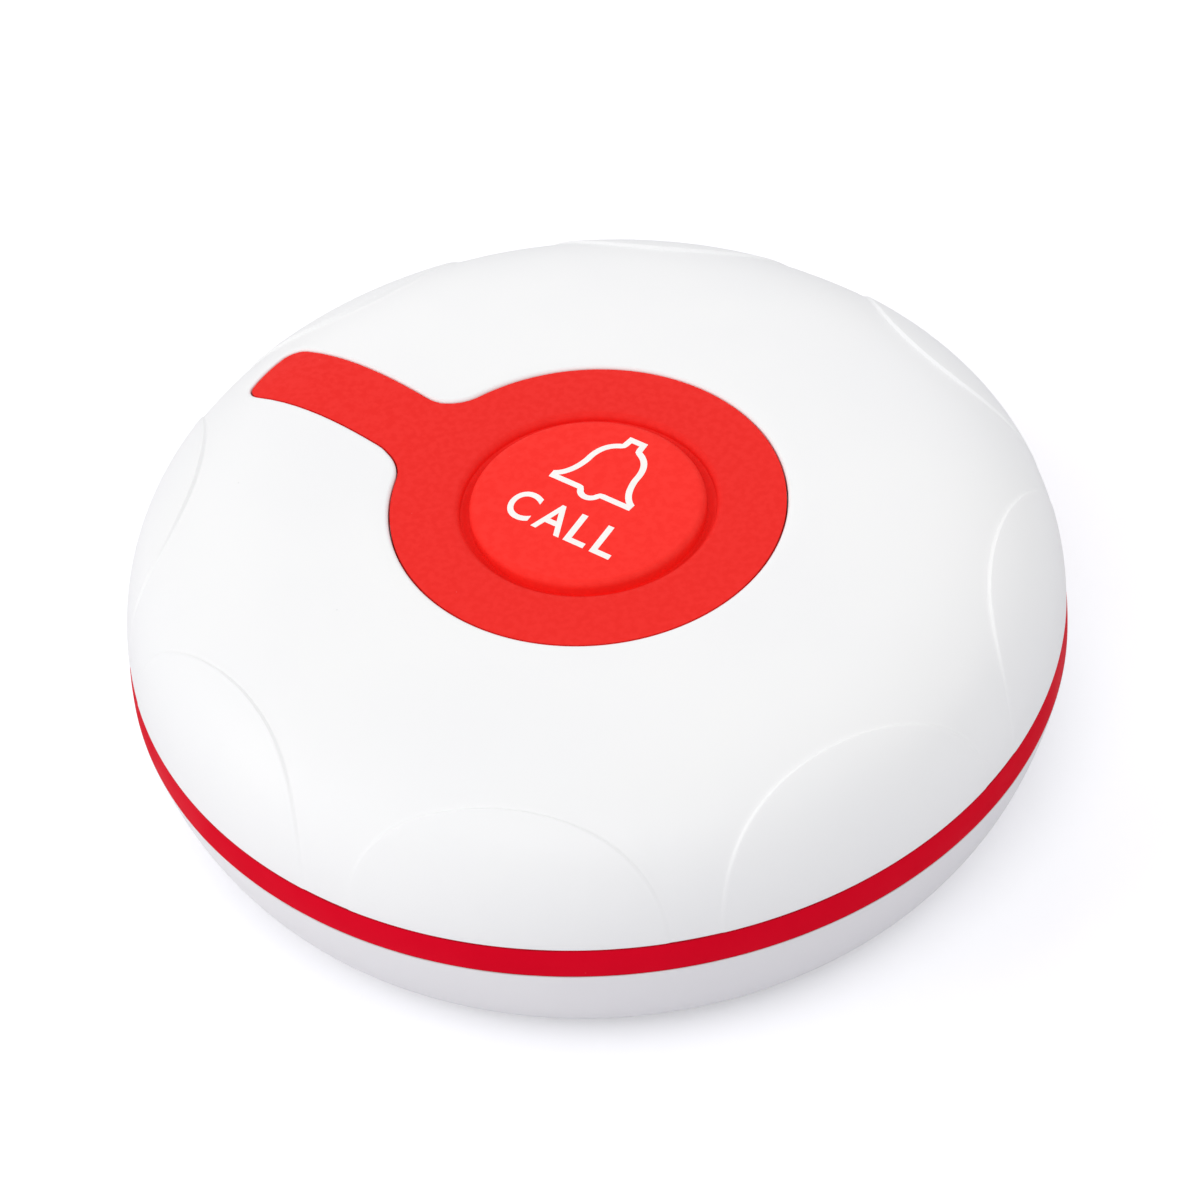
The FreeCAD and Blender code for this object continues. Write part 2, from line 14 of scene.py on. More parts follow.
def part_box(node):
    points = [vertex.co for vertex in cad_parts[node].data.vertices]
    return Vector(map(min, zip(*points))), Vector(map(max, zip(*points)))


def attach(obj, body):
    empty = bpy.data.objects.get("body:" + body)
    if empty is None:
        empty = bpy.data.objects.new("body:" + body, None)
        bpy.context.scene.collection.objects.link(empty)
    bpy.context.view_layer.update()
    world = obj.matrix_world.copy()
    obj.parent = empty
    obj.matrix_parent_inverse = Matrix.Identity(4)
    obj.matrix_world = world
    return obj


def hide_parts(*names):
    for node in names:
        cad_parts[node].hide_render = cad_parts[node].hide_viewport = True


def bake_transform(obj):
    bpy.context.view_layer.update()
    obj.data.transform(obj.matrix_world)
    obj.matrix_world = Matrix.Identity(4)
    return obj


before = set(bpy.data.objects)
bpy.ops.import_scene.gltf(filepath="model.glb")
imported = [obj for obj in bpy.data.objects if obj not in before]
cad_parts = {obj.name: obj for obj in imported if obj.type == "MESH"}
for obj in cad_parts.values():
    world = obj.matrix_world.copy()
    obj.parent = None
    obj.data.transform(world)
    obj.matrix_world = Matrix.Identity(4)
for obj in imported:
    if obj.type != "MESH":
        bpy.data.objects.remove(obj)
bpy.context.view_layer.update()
mm = 0.001
full_turn = 2 * math.pi

# %% [markdown]
# The camera stands where the photographer stood. Its height, distance and lean were worked out
# from the ellipses that the round edges make in the picture. The lens is a long one, because the
# near and the far side of the rim are almost the same size there.

# %% Camera
view_turn = math.radians(38.0)
view_height = math.radians(44.6)
view_roll = math.radians(4.67)
view_distance = 478.0 * mm
aim_aside = 0.36 * mm
lens = 168.0
sensor = 36.0


def place_camera(centre):
    """A camera that looks at a point from the photographer's side, leaning about its own view."""
    level = math.cos(view_height)
    back = Vector((math.sin(view_turn) * level, -math.cos(view_turn) * level, math.sin(view_height)))
    right = Matrix.Rotation(view_roll, 3, -back) @ Vector((math.cos(view_turn), math.sin(view_turn), 0))
    up = back.cross(right)
    data = bpy.data.cameras.new("camera")
    data.lens, data.sensor_width, data.clip_start = lens, sensor, 10 * mm
    camera = bpy.data.objects.new("camera", data)
    bpy.context.scene.collection.objects.link(camera)
    place = centre + right * aim_aside + back * view_distance
    camera.matrix_world = Matrix.Translation(place) @ Matrix((right, up, back)).transposed().to_4x4()
    bpy.context.scene.camera = camera
    return camera


rim_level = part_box("trim_ring")[1].z
camera = place_camera(Vector((0, 0, rim_level)))
print("camera at", [round(v, 3) for v in camera.matrix_world.translation])

# %% [markdown]
# A material is a small graph of nodes. Four helpers keep the graphs short: they add a node with its
# values, link two sockets, do a sum, and start a material with nothing in it.

# %% Helpers for node graphs


def add(tree, kind, values=None, **settings):
    """Add a node, set its own settings, and set its inputs by name or by number."""
    node = tree.nodes.new(kind)
    for name, value in settings.items():
        setattr(node, name, value)
    for name, value in (values or {}).items():
        node.inputs[name].default_value = value
    return node


def wire(tree, start, end):
    """Link an output to an input, each given as a node and a socket name or number."""
    tree.links.new(start[0].outputs[start[1]], end[0].inputs[end[1]])


def math_node(tree, operation, first, second):
    """A math node on two inputs, each of them a number or a socket as a node and a name."""
    node = add(tree, "ShaderNodeMath", operation=operation)
    for slot, value in enumerate((first, second)):
        if isinstance(value, tuple):
            wire(tree, value, (node, slot))
        else:
            node.inputs[slot].default_value = value
    return node, 0


def empty_material(name):
    material = bpy.data.materials.new(name)
    material.use_nodes = True
    material.node_tree.nodes.clear()
    return material, material.node_tree


print("node helpers are ready")

# %% [markdown]
# The photograph is high key: a white sweep and soft light from all round, a little stronger from
# above the camera and from the left, so the shadows are pale. The lamps' strengths were worked out
# by lighting the scene with one lamp at a time and comparing the sum with the photo. The floor is
# a plain matt sheet. Only what the camera sees of it is lifted to white, so no extra light falls
# on the object, and its shadow stays.

# %% Floor and lights
floor_size = 3.0
floor_colour = (0.80, 0.80, 0.83, 1)
floor_lift = 0.30
world_colour = (0.97, 0.975, 1.0, 1)
world_strength = 0.50
lamp_size = 0.8
lamp_distance = 1.1
lamp_colour = (1.0, 0.995, 0.98)
lamps = (("key_lamp", 60, 300, 3.6), ("left_lamp", 35, 225, 2.6), ("low_lamp", 15, 240, 1.6),
         ("back_left_lamp", 35, 135, 2.2), ("back_right_lamp", 35, 45, 1.8))


def floor_material():
    material, tree = empty_material("floor")
    output = add(tree, "ShaderNodeOutputMaterial")
    sheet = add(tree, "ShaderNodeBsdfDiffuse", {"Color": floor_colour})
    glow = add(tree, "ShaderNodeEmission")
    path = add(tree, "ShaderNodeLightPath")
    both = add(tree, "ShaderNodeAddShader")
    wire(tree, math_node(tree, "MULTIPLY", (path, "Is Camera Ray"), floor_lift), (glow, "Strength"))
    wire(tree, (sheet, 0), (both, 0))
    wire(tree, (glow, 0), (both, 1))
    wire(tree, (both, 0), (output, "Surface"))
    return material


def make_floor():
    bpy.ops.object.select_all(action="DESELECT")
    bpy.ops.mesh.primitive_plane_add(size=floor_size, location=(0, 0, 0))
    floor = bpy.context.object
    floor.name = "floor"
    floor.data.materials.append(floor_material())
    return floor


def make_world():
    world = bpy.data.worlds.new("studio")
    bpy.context.scene.world = world
    world.use_nodes = True
    tree = world.node_tree
    tree.nodes.clear()
    output = add(tree, "ShaderNodeOutputWorld")
    light = add(tree, "ShaderNodeBackground", {"Color": world_colour, "Strength": world_strength})
    white = add(tree, "ShaderNodeBackground", {"Color": (1, 1, 1, 1), "Strength": 1.0})
    path = add(tree, "ShaderNodeLightPath")
    mix = add(tree, "ShaderNodeMixShader")
    wire(tree, (path, "Is Camera Ray"), (mix, "Fac"))
    wire(tree, (light, 0), (mix, 1))
    wire(tree, (white, 0), (mix, 2))
    wire(tree, (mix, 0), (output, "Surface"))


def make_lamp(name, height, turn, power):
    """A round soft lamp at a height and a turn in degrees, pointed at the object."""
    data = bpy.data.lights.new(name, "AREA")
    data.shape = "DISK"
    data.size, data.energy, data.color = lamp_size, power, lamp_colour
    lamp = bpy.data.objects.new(name, data)
    bpy.context.scene.collection.objects.link(lamp)
    height, turn = math.radians(height), math.radians(turn)
    place = Vector((math.cos(height) * math.cos(turn), math.cos(height) * math.sin(turn), math.sin(height)))
    lamp.location = place * lamp_distance
    lamp.rotation_euler = (-place).to_track_quat("-Z", "Y").to_euler()


bpy.context.scene.view_settings.view_transform = "Standard"
make_floor()
make_world()
for lamp in lamps:
    make_lamp(*lamp)
print("floor, world and", len(lamps), "lamps are in place")

# %% [markdown]
# Nearly every piece here is turned or is cut from a flat outline. So two helpers do what a hand
# does in edit mode. A plane is added and merged into one point, that point is extruded along an
# outline, and the outline is then spun round the upright axis, or filled and extruded upwards.
# Everything is deselected before each step, because an operator acts on all that is selected.

# %% Helpers for modelling
merge_gap = 0.002 * mm
smooth_angle = math.radians(35)
plain_steps = 256
rim_steps = 360
pad_steps = 240
button_steps = 192
pocket_steps = 128


def select_only(piece):
    if bpy.context.object and bpy.context.object.mode != "OBJECT":
        bpy.ops.object.mode_set(mode="OBJECT")
    bpy.ops.object.select_all(action="DESELECT")
    bpy.context.view_layer.objects.active = piece
    piece.select_set(True)


def edit(piece):
    """Open one piece in edit mode with all of its mesh selected."""
    select_only(piece)
    bpy.ops.object.mode_set(mode="EDIT")
    bpy.ops.mesh.select_mode(type="VERT")
    bpy.ops.mesh.select_all(action="SELECT")


def draw(name, points):
    """Draw a closed line: a plane is merged into one point, which is extruded from place to place."""
    places = [Vector(point) for point in points]
    if bpy.context.object and bpy.context.object.mode != "OBJECT":
        bpy.ops.object.mode_set(mode="OBJECT")
    bpy.ops.object.select_all(action="DESELECT")
    bpy.ops.mesh.primitive_plane_add(size=mm, location=(0, 0, 0))
    piece = bpy.context.object
    piece.name = piece.data.name = name
    edit(piece)
    bpy.ops.mesh.merge(type="CENTER")
    bpy.ops.transform.translate(value=places[0])
    for here, there in zip(places, places[1:] + places[:1]):
        bpy.ops.mesh.extrude_region_move(TRANSFORM_OT_translate={"value": there - here})
    bpy.ops.mesh.select_all(action="SELECT")
    bpy.ops.mesh.remove_doubles(threshold=merge_gap)
    return piece


def close_mesh(piece):
    """Merge doubles, turn the faces outwards, and shade smoothly apart from the real corners."""
    bpy.ops.mesh.select_all(action="SELECT")
    bpy.ops.mesh.remove_doubles(threshold=merge_gap)
    bpy.ops.mesh.normals_make_consistent(inside=False)
    bpy.ops.object.mode_set(mode="OBJECT")
    bpy.ops.object.shade_smooth_by_angle(angle=smooth_angle)
    return piece


def turned(name, section, steps=plain_steps):
    """Spin a section, given as points of radius and height, round the upright axis."""
    piece = draw(name, [(r, 0, z) for r, z in section])
    bpy.ops.mesh.spin(steps=steps, angle=full_turn, center=(0, 0, 0), axis=(0, 0, 1))
    return close_mesh(piece)


def prism(name, plan, low, high):
    """Fill a flat outline and extrude it upwards."""
    piece = draw(name, [(x, y, low) for x, y in plan])
    bpy.ops.mesh.edge_face_add()
    bpy.ops.mesh.extrude_region_move(TRANSFORM_OT_translate={"value": (0, 0, high - low)})
    return close_mesh(piece)


def disc_plan(radius, place=(0, 0), steps=48):
    turns = [full_turn * i / steps for i in range(steps)]
    return [(place[0] + radius * math.cos(t), place[1] + radius * math.sin(t)) for t in turns]


def join(pieces):
    """Join several meshes into the first one."""
    select_only(pieces[0])
    for piece in pieces:
        piece.select_set(True)
    bpy.ops.object.join()
    return pieces[0]


def carve(piece, cutter, operation="DIFFERENCE"):
    """Apply a Boolean modifier with another mesh, which is deleted afterwards."""
    select_only(piece)
    modifier = piece.modifiers.new("carve", "BOOLEAN")
    modifier.operation, modifier.solver, modifier.object = operation, "EXACT", cutter
    bpy.ops.object.modifier_apply(modifier=modifier.name)
    bpy.data.objects.remove(cutter)
    bpy.ops.object.shade_smooth_by_angle(angle=smooth_angle)
    return piece


def round_edge(centre, radius, first, last, count=5):
    """Points of an arc, from one angle in degrees to another."""
    turns = [math.radians(first + (last - first) * i / count) for i in range(count + 1)]
    return [(centre[0] + radius * math.cos(t), centre[1] + radius * math.sin(t)) for t in turns]


def bezier(poles, count):
    """Points of a curve with four control points."""
    points = []
    for i in range(count + 1):
        t = i / count
        weights = ((1 - t) ** 3, 3 * t * (1 - t) ** 2, 3 * t * t * (1 - t), t ** 3)
        points.append(tuple(sum(w * pole[axis] for w, pole in zip(weights, poles)) for axis in (0, 1)))
    return points


def stands_for(piece, node, body):
    """Let a new piece replace a packed one and ride on its body."""
    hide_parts(node)
    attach(piece, body)
    size = [round(v / mm, 2) for v in piece.dimensions]
    print(piece.name, "has", len(piece.data.polygons), "faces and measures", size, "mm")
    return piece


print("modelling helpers are ready")

# %% [markdown]
# The cover is a flat crown with a round shoulder, and one formula gives its height at any radius.
# Eight low petals stand on the shoulder. Each one is the same shoulder, a little larger, inside a
# circle seen from above. In the photo the petals have soft edges, so a sharp cut would look wrong.

# %% The shape of the dome
rim_radius = 40.0 * mm
crown_height = 11.7 * mm
camber = 0.8 * mm
squareness = 10.0
roundness = 2.05
petal_count = 8
petal_rise = 0.34 * mm
petal_foot = 0.04 * mm
petal_radius = 26.4 * mm
petal_centre = 60.5 * mm
petal_soft = 0.38 * mm
petal_lead = 0.3
petal_turn = math.radians(1.4)


def dome(share, crown=crown_height):
    """Height above the rim at a share of the rim's radius."""
    shoulder = np.maximum(0.0, 1 - share ** squareness) ** (1 / roundness)
    return (crown - camber) * shoulder + camber * (1 - share ** 2)


def dome_points(radii, lowered):
    return [(r, rim_level + float(dome(r / rim_radius)) - lowered) for r in radii]


shares = 1 - (1 - np.linspace(0, 1, 4001)) ** 3
heights = dome(shares)
travel = np.concatenate([[0], np.cumsum(np.hypot(np.diff(shares) * rim_radius, np.diff(heights)))])
print("from the middle to the rim the skin is", round(travel[-1] / mm, 2), "mm long")

# %% [markdown]
# The skin is a net of rings and rays. In a plain net the petals' edges would cross the meshes at a
# slant and look jagged. So the rings are slid along the skin until one of them lies on the petal's
# edge. Where that edge drops steeply to the rim no ring could follow it, and there the rays are
# crowded instead, because they run nearly along it. First, the petal's edge as seen on each ray.

# %% The petal's edge on each ray
petal_step = full_turn / petal_count
rim_round = 0.12 * mm
steepest = 4.0
fade_turn = math.radians(0.6)
end_cosine = (rim_radius ** 2 + petal_centre ** 2 - petal_radius ** 2) / (2 * rim_radius * petal_centre)
petal_end = math.acos(end_cosine)
travel_end = float(travel[-1]) - rim_round


def travel_at(radius):
    """Distance along the skin from the middle to a radius."""
    return np.interp(radius / rim_radius, shares, travel)


turns = np.linspace(0, petal_step / 2, 3001)
inside = turns < petal_end
across = petal_centre * np.sin(np.where(inside, turns, petal_end))
edge_radii = petal_centre * np.cos(np.where(inside, turns, petal_end))
edge_radii = edge_radii - np.sqrt(petal_radius ** 2 - across ** 2)
edge_travel = travel_at(np.minimum(edge_radii, rim_radius))
slopes = np.minimum(np.gradient(edge_travel, turns) / rim_radius, steepest)
slopes = np.where(inside, slopes, steepest * np.exp((petal_end - turns) / fade_turn))
edge_limit = float(edge_travel[np.argmax(slopes >= steepest)])
print("a petal ends", round(math.degrees(petal_end), 2), "degrees from its middle")

# %% The rays and rings of the skin
bore_radius = 10.5 * mm
free_radius = 29.0 * mm
free_rings = 14
rings_above = 12
rings_below = 26
crowding = 1.8
half_rays = 48
sector_rays = 2 * half_rays
effort = np.concatenate([[0], np.cumsum(np.hypot(1, slopes[:-1]) * np.diff(turns))])
travel_bore, travel_free = float(travel_at(bore_radius)), float(travel_at(free_radius))


def ray_turn(number):
    """Angle of a ray from the petal's middle, in even steps along the petal's edge."""
    return float(np.interp(effort[-1] * number / half_rays, effort, turns))


def skin_rings(turn):
    """Distances along the skin of all rings on a ray, with one of them on the petal's edge."""
    edge = min(float(np.interp(turn, turns, edge_travel)), edge_limit)
    rings = [travel_bore + (travel_free - travel_bore) * i / free_rings for i in range(free_rings + 1)]
    above = [(1 - i / rings_above) ** crowding for i in range(1, rings_above + 1)]
    below = [(i / rings_below) ** crowding for i in range(1, rings_below + 1)]
    rings += [edge - (edge - travel_free) * share for share in above]
    return rings + [edge + (travel_end - edge) * share for share in below]


def skin_point(distance, lift=0.0):
    """Radius and height on the skin, with a share of the petal's rise."""
    share = float(np.interp(distance, travel, shares))
    radius = (rim_radius + petal_foot * lift) * share
    return radius, rim_level + float(dome(share, crown_height + petal_rise * lift))


skin_section = [skin_point(distance) for distance in skin_rings(petal_step / 2)]
print("rings on the skin:", len(skin_section), "rays in a sector:", sector_rays)

# %% [markdown]
# Under the skin the section turns back at the rim and follows the wall. Inside the pocket it goes
# down the tube that guides the button. One eighth of the cover is spun from this section.

# %% Spin one sector of the cover
wall = 2.0 * mm
tray_depth = 3.1 * mm
tray_radius = 18.5 * mm
guide_outer = 11.3 * mm
guide_bore = 9.9 * mm
guide_drop = 2.65 * mm
guide_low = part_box("button_plunger")[0].z + 1.1 * mm
guide_high = rim_level + float(dome(bore_radius / rim_radius)) - guide_drop
inner_points = 14
inner_crowding = 2.4


def inner_dome(radius):
    return rim_level + float(dome(min(1.0, radius / (rim_radius - wall)), crown_height - wall))


def cover_section():
    inner_radius = rim_radius - wall
    points = list(skin_section)
    points += round_edge((rim_radius - rim_round, rim_level + rim_round), rim_round, 0, -90, 4)[1:]
    steps = [(i / inner_points) ** inner_crowding for i in range(inner_points + 1)]
    radii = [inner_radius - (inner_radius - tray_radius) * step for step in steps]
    points += [(radius, inner_dome(radius)) for radius in radii]
    points += dome_points([tray_radius, (tray_radius + guide_outer) / 2, guide_outer], tray_depth)
    return points + [(guide_outer, guide_low), (guide_bore, guide_low), (guide_bore, guide_high),
                     (bore_radius, guide_high)]


cover = draw("top_cover_shell", [(r, 0, z) for r, z in cover_section()])
bpy.ops.mesh.spin(steps=sector_rays, angle=petal_step, center=(0, 0, 0), axis=(0, 0, 1))
bpy.ops.mesh.select_all(action="SELECT")
bpy.ops.mesh.remove_doubles(threshold=merge_gap)
bpy.ops.object.mode_set(mode="OBJECT")
print("points in one sector:", len(cover.data.vertices))

# %% [markdown]
# No operator of edit mode can slide a ring along a dome or lift a petal by a formula. This one
# step is made in code instead: every point gets the angle of its ray, and the points of the skin
# get the place of their ring and their share of the petal's rise. The petals stand a degree or so
# further round than the tail's middle line asks for, as they do in the photo.

# %% Slide the rings and lift the petal


def petal_lift(radius, turn):
    """Nothing outside the petal and one inside it, with a soft step between."""
    inside = petal_radius - math.hypot(radius * math.cos(turn) - petal_centre, radius * math.sin(turn))
    step = min(1.0, max(0.0, inside / petal_soft + petal_lead))
    return step * step * (3 - 2 * step)


def nearest_ring(radius, height):
    """Number of the ring of the drawn section at a place, or nothing beside the skin."""
    gaps = [math.hypot(radius - r, height - z) for r, z in skin_section]
    best = min(range(len(gaps)), key=gaps.__getitem__)
    return best if gaps[best] < merge_gap else None


def shape_sector(piece):
    """Move each point of the sector to its new ray and ring."""
    numbers = {}
    tables = {}
    for vertex in piece.data.vertices:
        x, y, height = vertex.co
        radius = math.hypot(x, y)
        ray = round((abs(math.atan2(y, x)) / petal_step - 0.5) * sector_rays)
        turn = math.copysign(ray_turn(abs(ray)), ray)
        key = (round(radius, 7), round(height, 7))
        if key not in numbers:
            numbers[key] = nearest_ring(radius, height)
        ring = numbers[key]
        if ring is not None and ring > free_rings:
            if abs(ray) not in tables:
                tables[abs(ray)] = skin_rings(abs(turn))
            distance = tables[abs(ray)][ring]
            radius, height = skin_point(distance, petal_lift(skin_point(distance)[0], turn))
        elif radius > rim_radius - 2 * rim_round and height < rim_level + rim_round:
            radius += petal_foot * petal_lift(radius, turn)
        turn += petal_step / 2 + petal_turn
        vertex.co = (radius * math.cos(turn), radius * math.sin(turn), height)
    piece.data.update()


shape_sector(cover)
print("the sector is", [round(v / mm, 2) for v in cover.dimensions], "mm")

# %% Copy the sector round
edit(cover)
bpy.ops.mesh.spin(steps=petal_count - 1, dupli=True, angle=full_turn - petal_step, center=(0, 0, 0),
                  axis=(0, 0, 1))
close_mesh(cover)
print("faces in the whole cover:", len(cover.data.polygons))

# %% [markdown]
# The pad has the outline of a keyhole: a disc with a short tail. One function lists that outline
# for the pad and, a little wider, for the pocket it lies in. The fillets at the neck and the
# corners of the tail are arcs that touch their neighbours, so no corner is left between them.

# %% The keyhole outline
pad_radius = 16.7 * mm
tail_half = 3.42 * mm
tail_reach = 34.4 * mm
tail_bow = 0.45 * mm
tail_corner = 1.6 * mm
tail_bend = 0.9 * mm
bend_start = 18.0 * mm
bend_span = 19.0 * mm
neck_fillet = 4.2 * mm
tail_points = 10


def arc(centre, radius, first, last, step):
    """Points of an arc between two angles in radians, at about an even step."""
    count = max(3, round(abs(last - first) / step))
    turns = [first + (last - first) * i / count for i in range(count + 1)]
    return [(centre[0] + radius * math.cos(t), centre[1] + radius * math.sin(t)) for t in turns]


def bowed(point):
    """The tail bows a little to one side, as it does in the photo."""
    share = min(1.0, max(0.0, (-point[0] - bend_start) / bend_span))
    return point[0], point[1] + tail_bend * math.sin(math.pi * share)


def keyhole(grow=0.0):
    """The half of the outline above the tail's middle line, then its mirror image below."""
    disc, half, fillet, corner = pad_radius + grow, tail_half + grow, neck_fillet - grow, tail_corner + grow
    neck = (-math.sqrt((disc + fillet) ** 2 - (half + fillet) ** 2), half + fillet)
    touch = math.atan2(neck[1], neck[0])
    bow = (half ** 2 + tail_bow ** 2) / (2 * tail_bow)
    end = (bow - tail_reach - grow, 0)
    inset = (end[0] - math.sqrt((bow - corner) ** 2 - (half - corner) ** 2), half - corner)
    lean = math.atan2(inset[1], inset[0] - end[0])
    upper = arc((0, 0), disc, 0, touch, math.radians(2))
    upper += arc(neck, fillet, touch - math.pi, -math.pi / 2, math.radians(6))[1:]
    upper += [(neck[0] + (inset[0] - neck[0]) * i / tail_points, half) for i in range(1, tail_points)]
    upper += arc(inset, corner, math.pi / 2, lean, math.radians(9))
    upper += arc(end, bow, lean, math.pi, math.radians(3))[1:]
    return [bowed(point) for point in upper + [(x, -y) for x, y in reversed(upper[1:-1])]]


print("points in the keyhole outline:", len(keyhole()))

# %% [markdown]
# The pocket is cut out of the cover with a Boolean. Its cutter is a slice of the dome with a
# lowered underside, cut to the keyhole, so the pocket is as deep at the tail as in the middle.
# A second cutter is a ring that follows the keyhole. Its outer side is the wall of the pocket and
# flares at the top, which rounds the edge of the white plastic, where the red of the pad is
# reflected. It is drawn flat and extruded, and code then lays each of its loops at its place on
# the dome. A small round hole under the tail lets the lamp shine into the pad.

# %% Cut the pocket
tray_drop = 1.7 * mm
pad_side_gap = 0.12 * mm
edge_round = 0.35 * mm
edge_steps = 5
ring_width = 0.5 * mm
ring_depth = 1.6 * mm
ring_top = 0.4 * mm
cutter_top = rim_level + crown_height + 2 * mm
lamp_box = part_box("indicator_lamp")
lamp_place = ((lamp_box[0].x + lamp_box[1].x) / 2, 0)
lamp_hole = 1.65 * mm
slice_radii = [i * 1.5 * mm for i in range(17)] + [(25 + i * 0.8) * mm for i in range(13)]


def outward(plan, reach):
    """Every point of a closed outline, moved out along its own normal."""
    moved = []
    for before, here, after in zip(plan[-1:] + plan[:-1], plan, plan[1:] + plan[:1]):
        along = Vector((after[0] - before[0], after[1] - before[1])).normalized()
        moved.append((here[0] + along.y * reach, here[1] - along.x * reach))
    return moved


def ring_section():
    """Pairs of reach from the pad's outline and depth below the skin."""
    inner, outer = pad_side_gap - ring_width, pad_side_gap + edge_round
    points = [(inner, ring_depth), (pad_side_gap, ring_depth)]
    for step in range(edge_steps + 1):
        turn = math.pi / 2 * step / edge_steps
        points.append((outer - edge_round * math.cos(turn), edge_round * (1 - math.sin(turn))))
    return points + [(outer + ring_top / 4, -ring_top), (inner, -ring_top)]


def keyhole_ring(name, plan, section):
    """A ring along an outline: drawn flat, extruded once for each point of its section, then shaped."""
    piece = draw(name, [(x, y, 0) for x, y in plan])
    section = section + section[:1]
    for level in section[1:]:
        bpy.ops.mesh.extrude_region_move(TRANSFORM_OT_translate={"value": (0, 0, mm)})
    bpy.ops.object.mode_set(mode="OBJECT")
    loops = [outward(plan, point[0]) for point in section]
    for vertex in piece.data.vertices:
        level = round(vertex.co.z / mm)
        spot = (vertex.co.x, vertex.co.y)
        number = min(range(len(plan)), key=lambda i: math.dist(plan[i], spot))
        x, y = loops[level][number]
        vertex.co = (x, y, dome_points([math.hypot(x, y)], section[level][1])[0][1])
    edit(piece)
    return close_mesh(piece)


under = dome_points(slice_radii, tray_drop)
pocket = turned("pocket", under + [(under[-1][0], cutter_top), (0, cutter_top)], pocket_steps)
pocket_plan = keyhole(pad_side_gap - ring_width / 2)
pocket = carve(pocket, prism("pocket_plan", pocket_plan, rim_level, cutter_top), "INTERSECT")
cover = carve(carve(cover, pocket), keyhole_ring("pocket_ring", keyhole(), ring_section()))
cover = carve(cover, prism("lamp_hole", disc_plan(lamp_hole, lamp_place), rim_level, cutter_top))
stands_for(cover, "top_cover", "housing")

# %% [markdown]
# The pad is one silicone moulding with the button. Its top lies a little below the white skin, and
# its edges are soft. The hole in its middle has a round lip that rolls down into the groove.
# A whole slice with that lip is turned first and then cut to the keyhole.

# %% The pad
pad_reveal = 0.18 * mm
pad_thickness = 1.3 * mm
pad_bore = 10.8 * mm
lip_round = 0.6 * mm
pad_radii = [(12 + i) * mm for i in range(14)] + [(26.5 + i * 0.8) * mm for i in range(12)]


def pad_section():
    lip = pad_bore + lip_round
    level = dome_points([lip], pad_reveal)[0][1]
    points = round_edge((lip, level - lip_round), lip_round, 180, 90, 8)
    points += dome_points(pad_radii, pad_reveal)
    points += dome_points(reversed(pad_radii), pad_reveal + pad_thickness)
    return points + dome_points([pad_bore], pad_reveal + pad_thickness)


pad = turned("button_pad_skin", pad_section(), pad_steps)
pad = carve(pad, prism("pad_plan", keyhole(), rim_level, cutter_top), "INTERSECT")
print("faces in the pad before its edge is rounded:", len(pad.data.polygons))

# %% [markdown]
# The cut leaves a hard corner all round the top of the pad. Its edges are picked out by their
# place, on the keyhole outline and on the upper skin, and then bevelled as a hand would do it.

# %% Soften the pad's edge
pad_edge_round = 0.12 * mm
outline_tolerance = 0.02 * mm


def on_outline(point, plan):
    """Whether a point lies on a closed outline, seen from above."""
    spot = Vector((point.x, point.y))
    for a, b in zip(plan, plan[1:] + plan[:1]):
        a, b = Vector(a), Vector(b)
        along = (b - a).normalized()
        reach = max(0.0, min((b - a).length, (spot - a).dot(along)))
        if (a + along * reach - spot).length < outline_tolerance:
            return True
    return False


def on_top(point):
    level = dome_points([math.hypot(point.x, point.y)], pad_reveal)[0][1]
    return abs(point.z - level) < outline_tolerance


def round_pad_edge(piece):
    plan = keyhole()
    edit(piece)
    bpy.ops.mesh.select_all(action="DESELECT")
    bpy.ops.mesh.select_mode(type="EDGE")
    bpy.ops.object.mode_set(mode="OBJECT")
    rim = {v.index for v in piece.data.vertices if on_top(v.co) and on_outline(v.co, plan)}
    chosen = 0
    for edge in piece.data.edges:
        edge.select = edge.vertices[0] in rim and edge.vertices[1] in rim
        chosen += edge.select
    bpy.ops.object.mode_set(mode="EDIT")
    bpy.ops.mesh.bevel(offset=pad_edge_round, segments=2, clamp_overlap=True)
    close_mesh(piece)
    print("edges rounded on the pad:", chosen)


round_pad_edge(pad)
stands_for(pad, "button_pad", "housing")

# %% [markdown]
# A thin web joins the button to the pad and bends when the button goes down. It slopes from the
# lip down to the foot of the button, and that slope is the dark groove in the photo.

# %% The web in the groove
button_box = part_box("call_button")
button_radius = button_box[1].x
web_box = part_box("button_web")
web_high = web_box[1].z - 0.05 * mm
web_low = web_box[0].z + 0.2 * mm
web_thickness = 0.3 * mm
web_curl = 1.3


def web_section(count=10):
    upper = []
    for i in range(count + 1):
        share = i / count
        drop = math.sin(share * math.pi / 2) ** web_curl
        upper.append((pad_bore + (button_radius - pad_bore) * share, web_high + (web_low - web_high) * drop))
    return upper + [(radius, height - web_thickness) for radius, height in reversed(upper)]


web = turned("button_web_skin", web_section(), button_steps)
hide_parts("button_web")
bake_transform(web)
print("the web drops", round((web_high - web_low) / mm, 2), "mm between the pad and the button")

# %% [markdown]
# The button is a low round slab with a soft edge and a slight crown. It is turned from a section
# with enough rings near its edge to keep the highlight clean.

# %% The round button
button_edge = 0.60 * mm
button_crown = 0.06 * mm
ink_lift = 0.012 * mm
button_top = button_box[1].z - button_crown - ink_lift
button_rings = 10


def button_section():
    flat = button_radius - button_edge
    points = [(0, button_box[0].z), (button_radius, button_box[0].z)]
    points += round_edge((flat, button_top - button_edge), button_edge, 0, 90, 8)
    radii = [flat * (1 - i / button_rings) for i in range(1, button_rings + 1)]
    return points + [(r, button_top + button_crown * (1 - (r / flat) ** 2)) for r in radii]


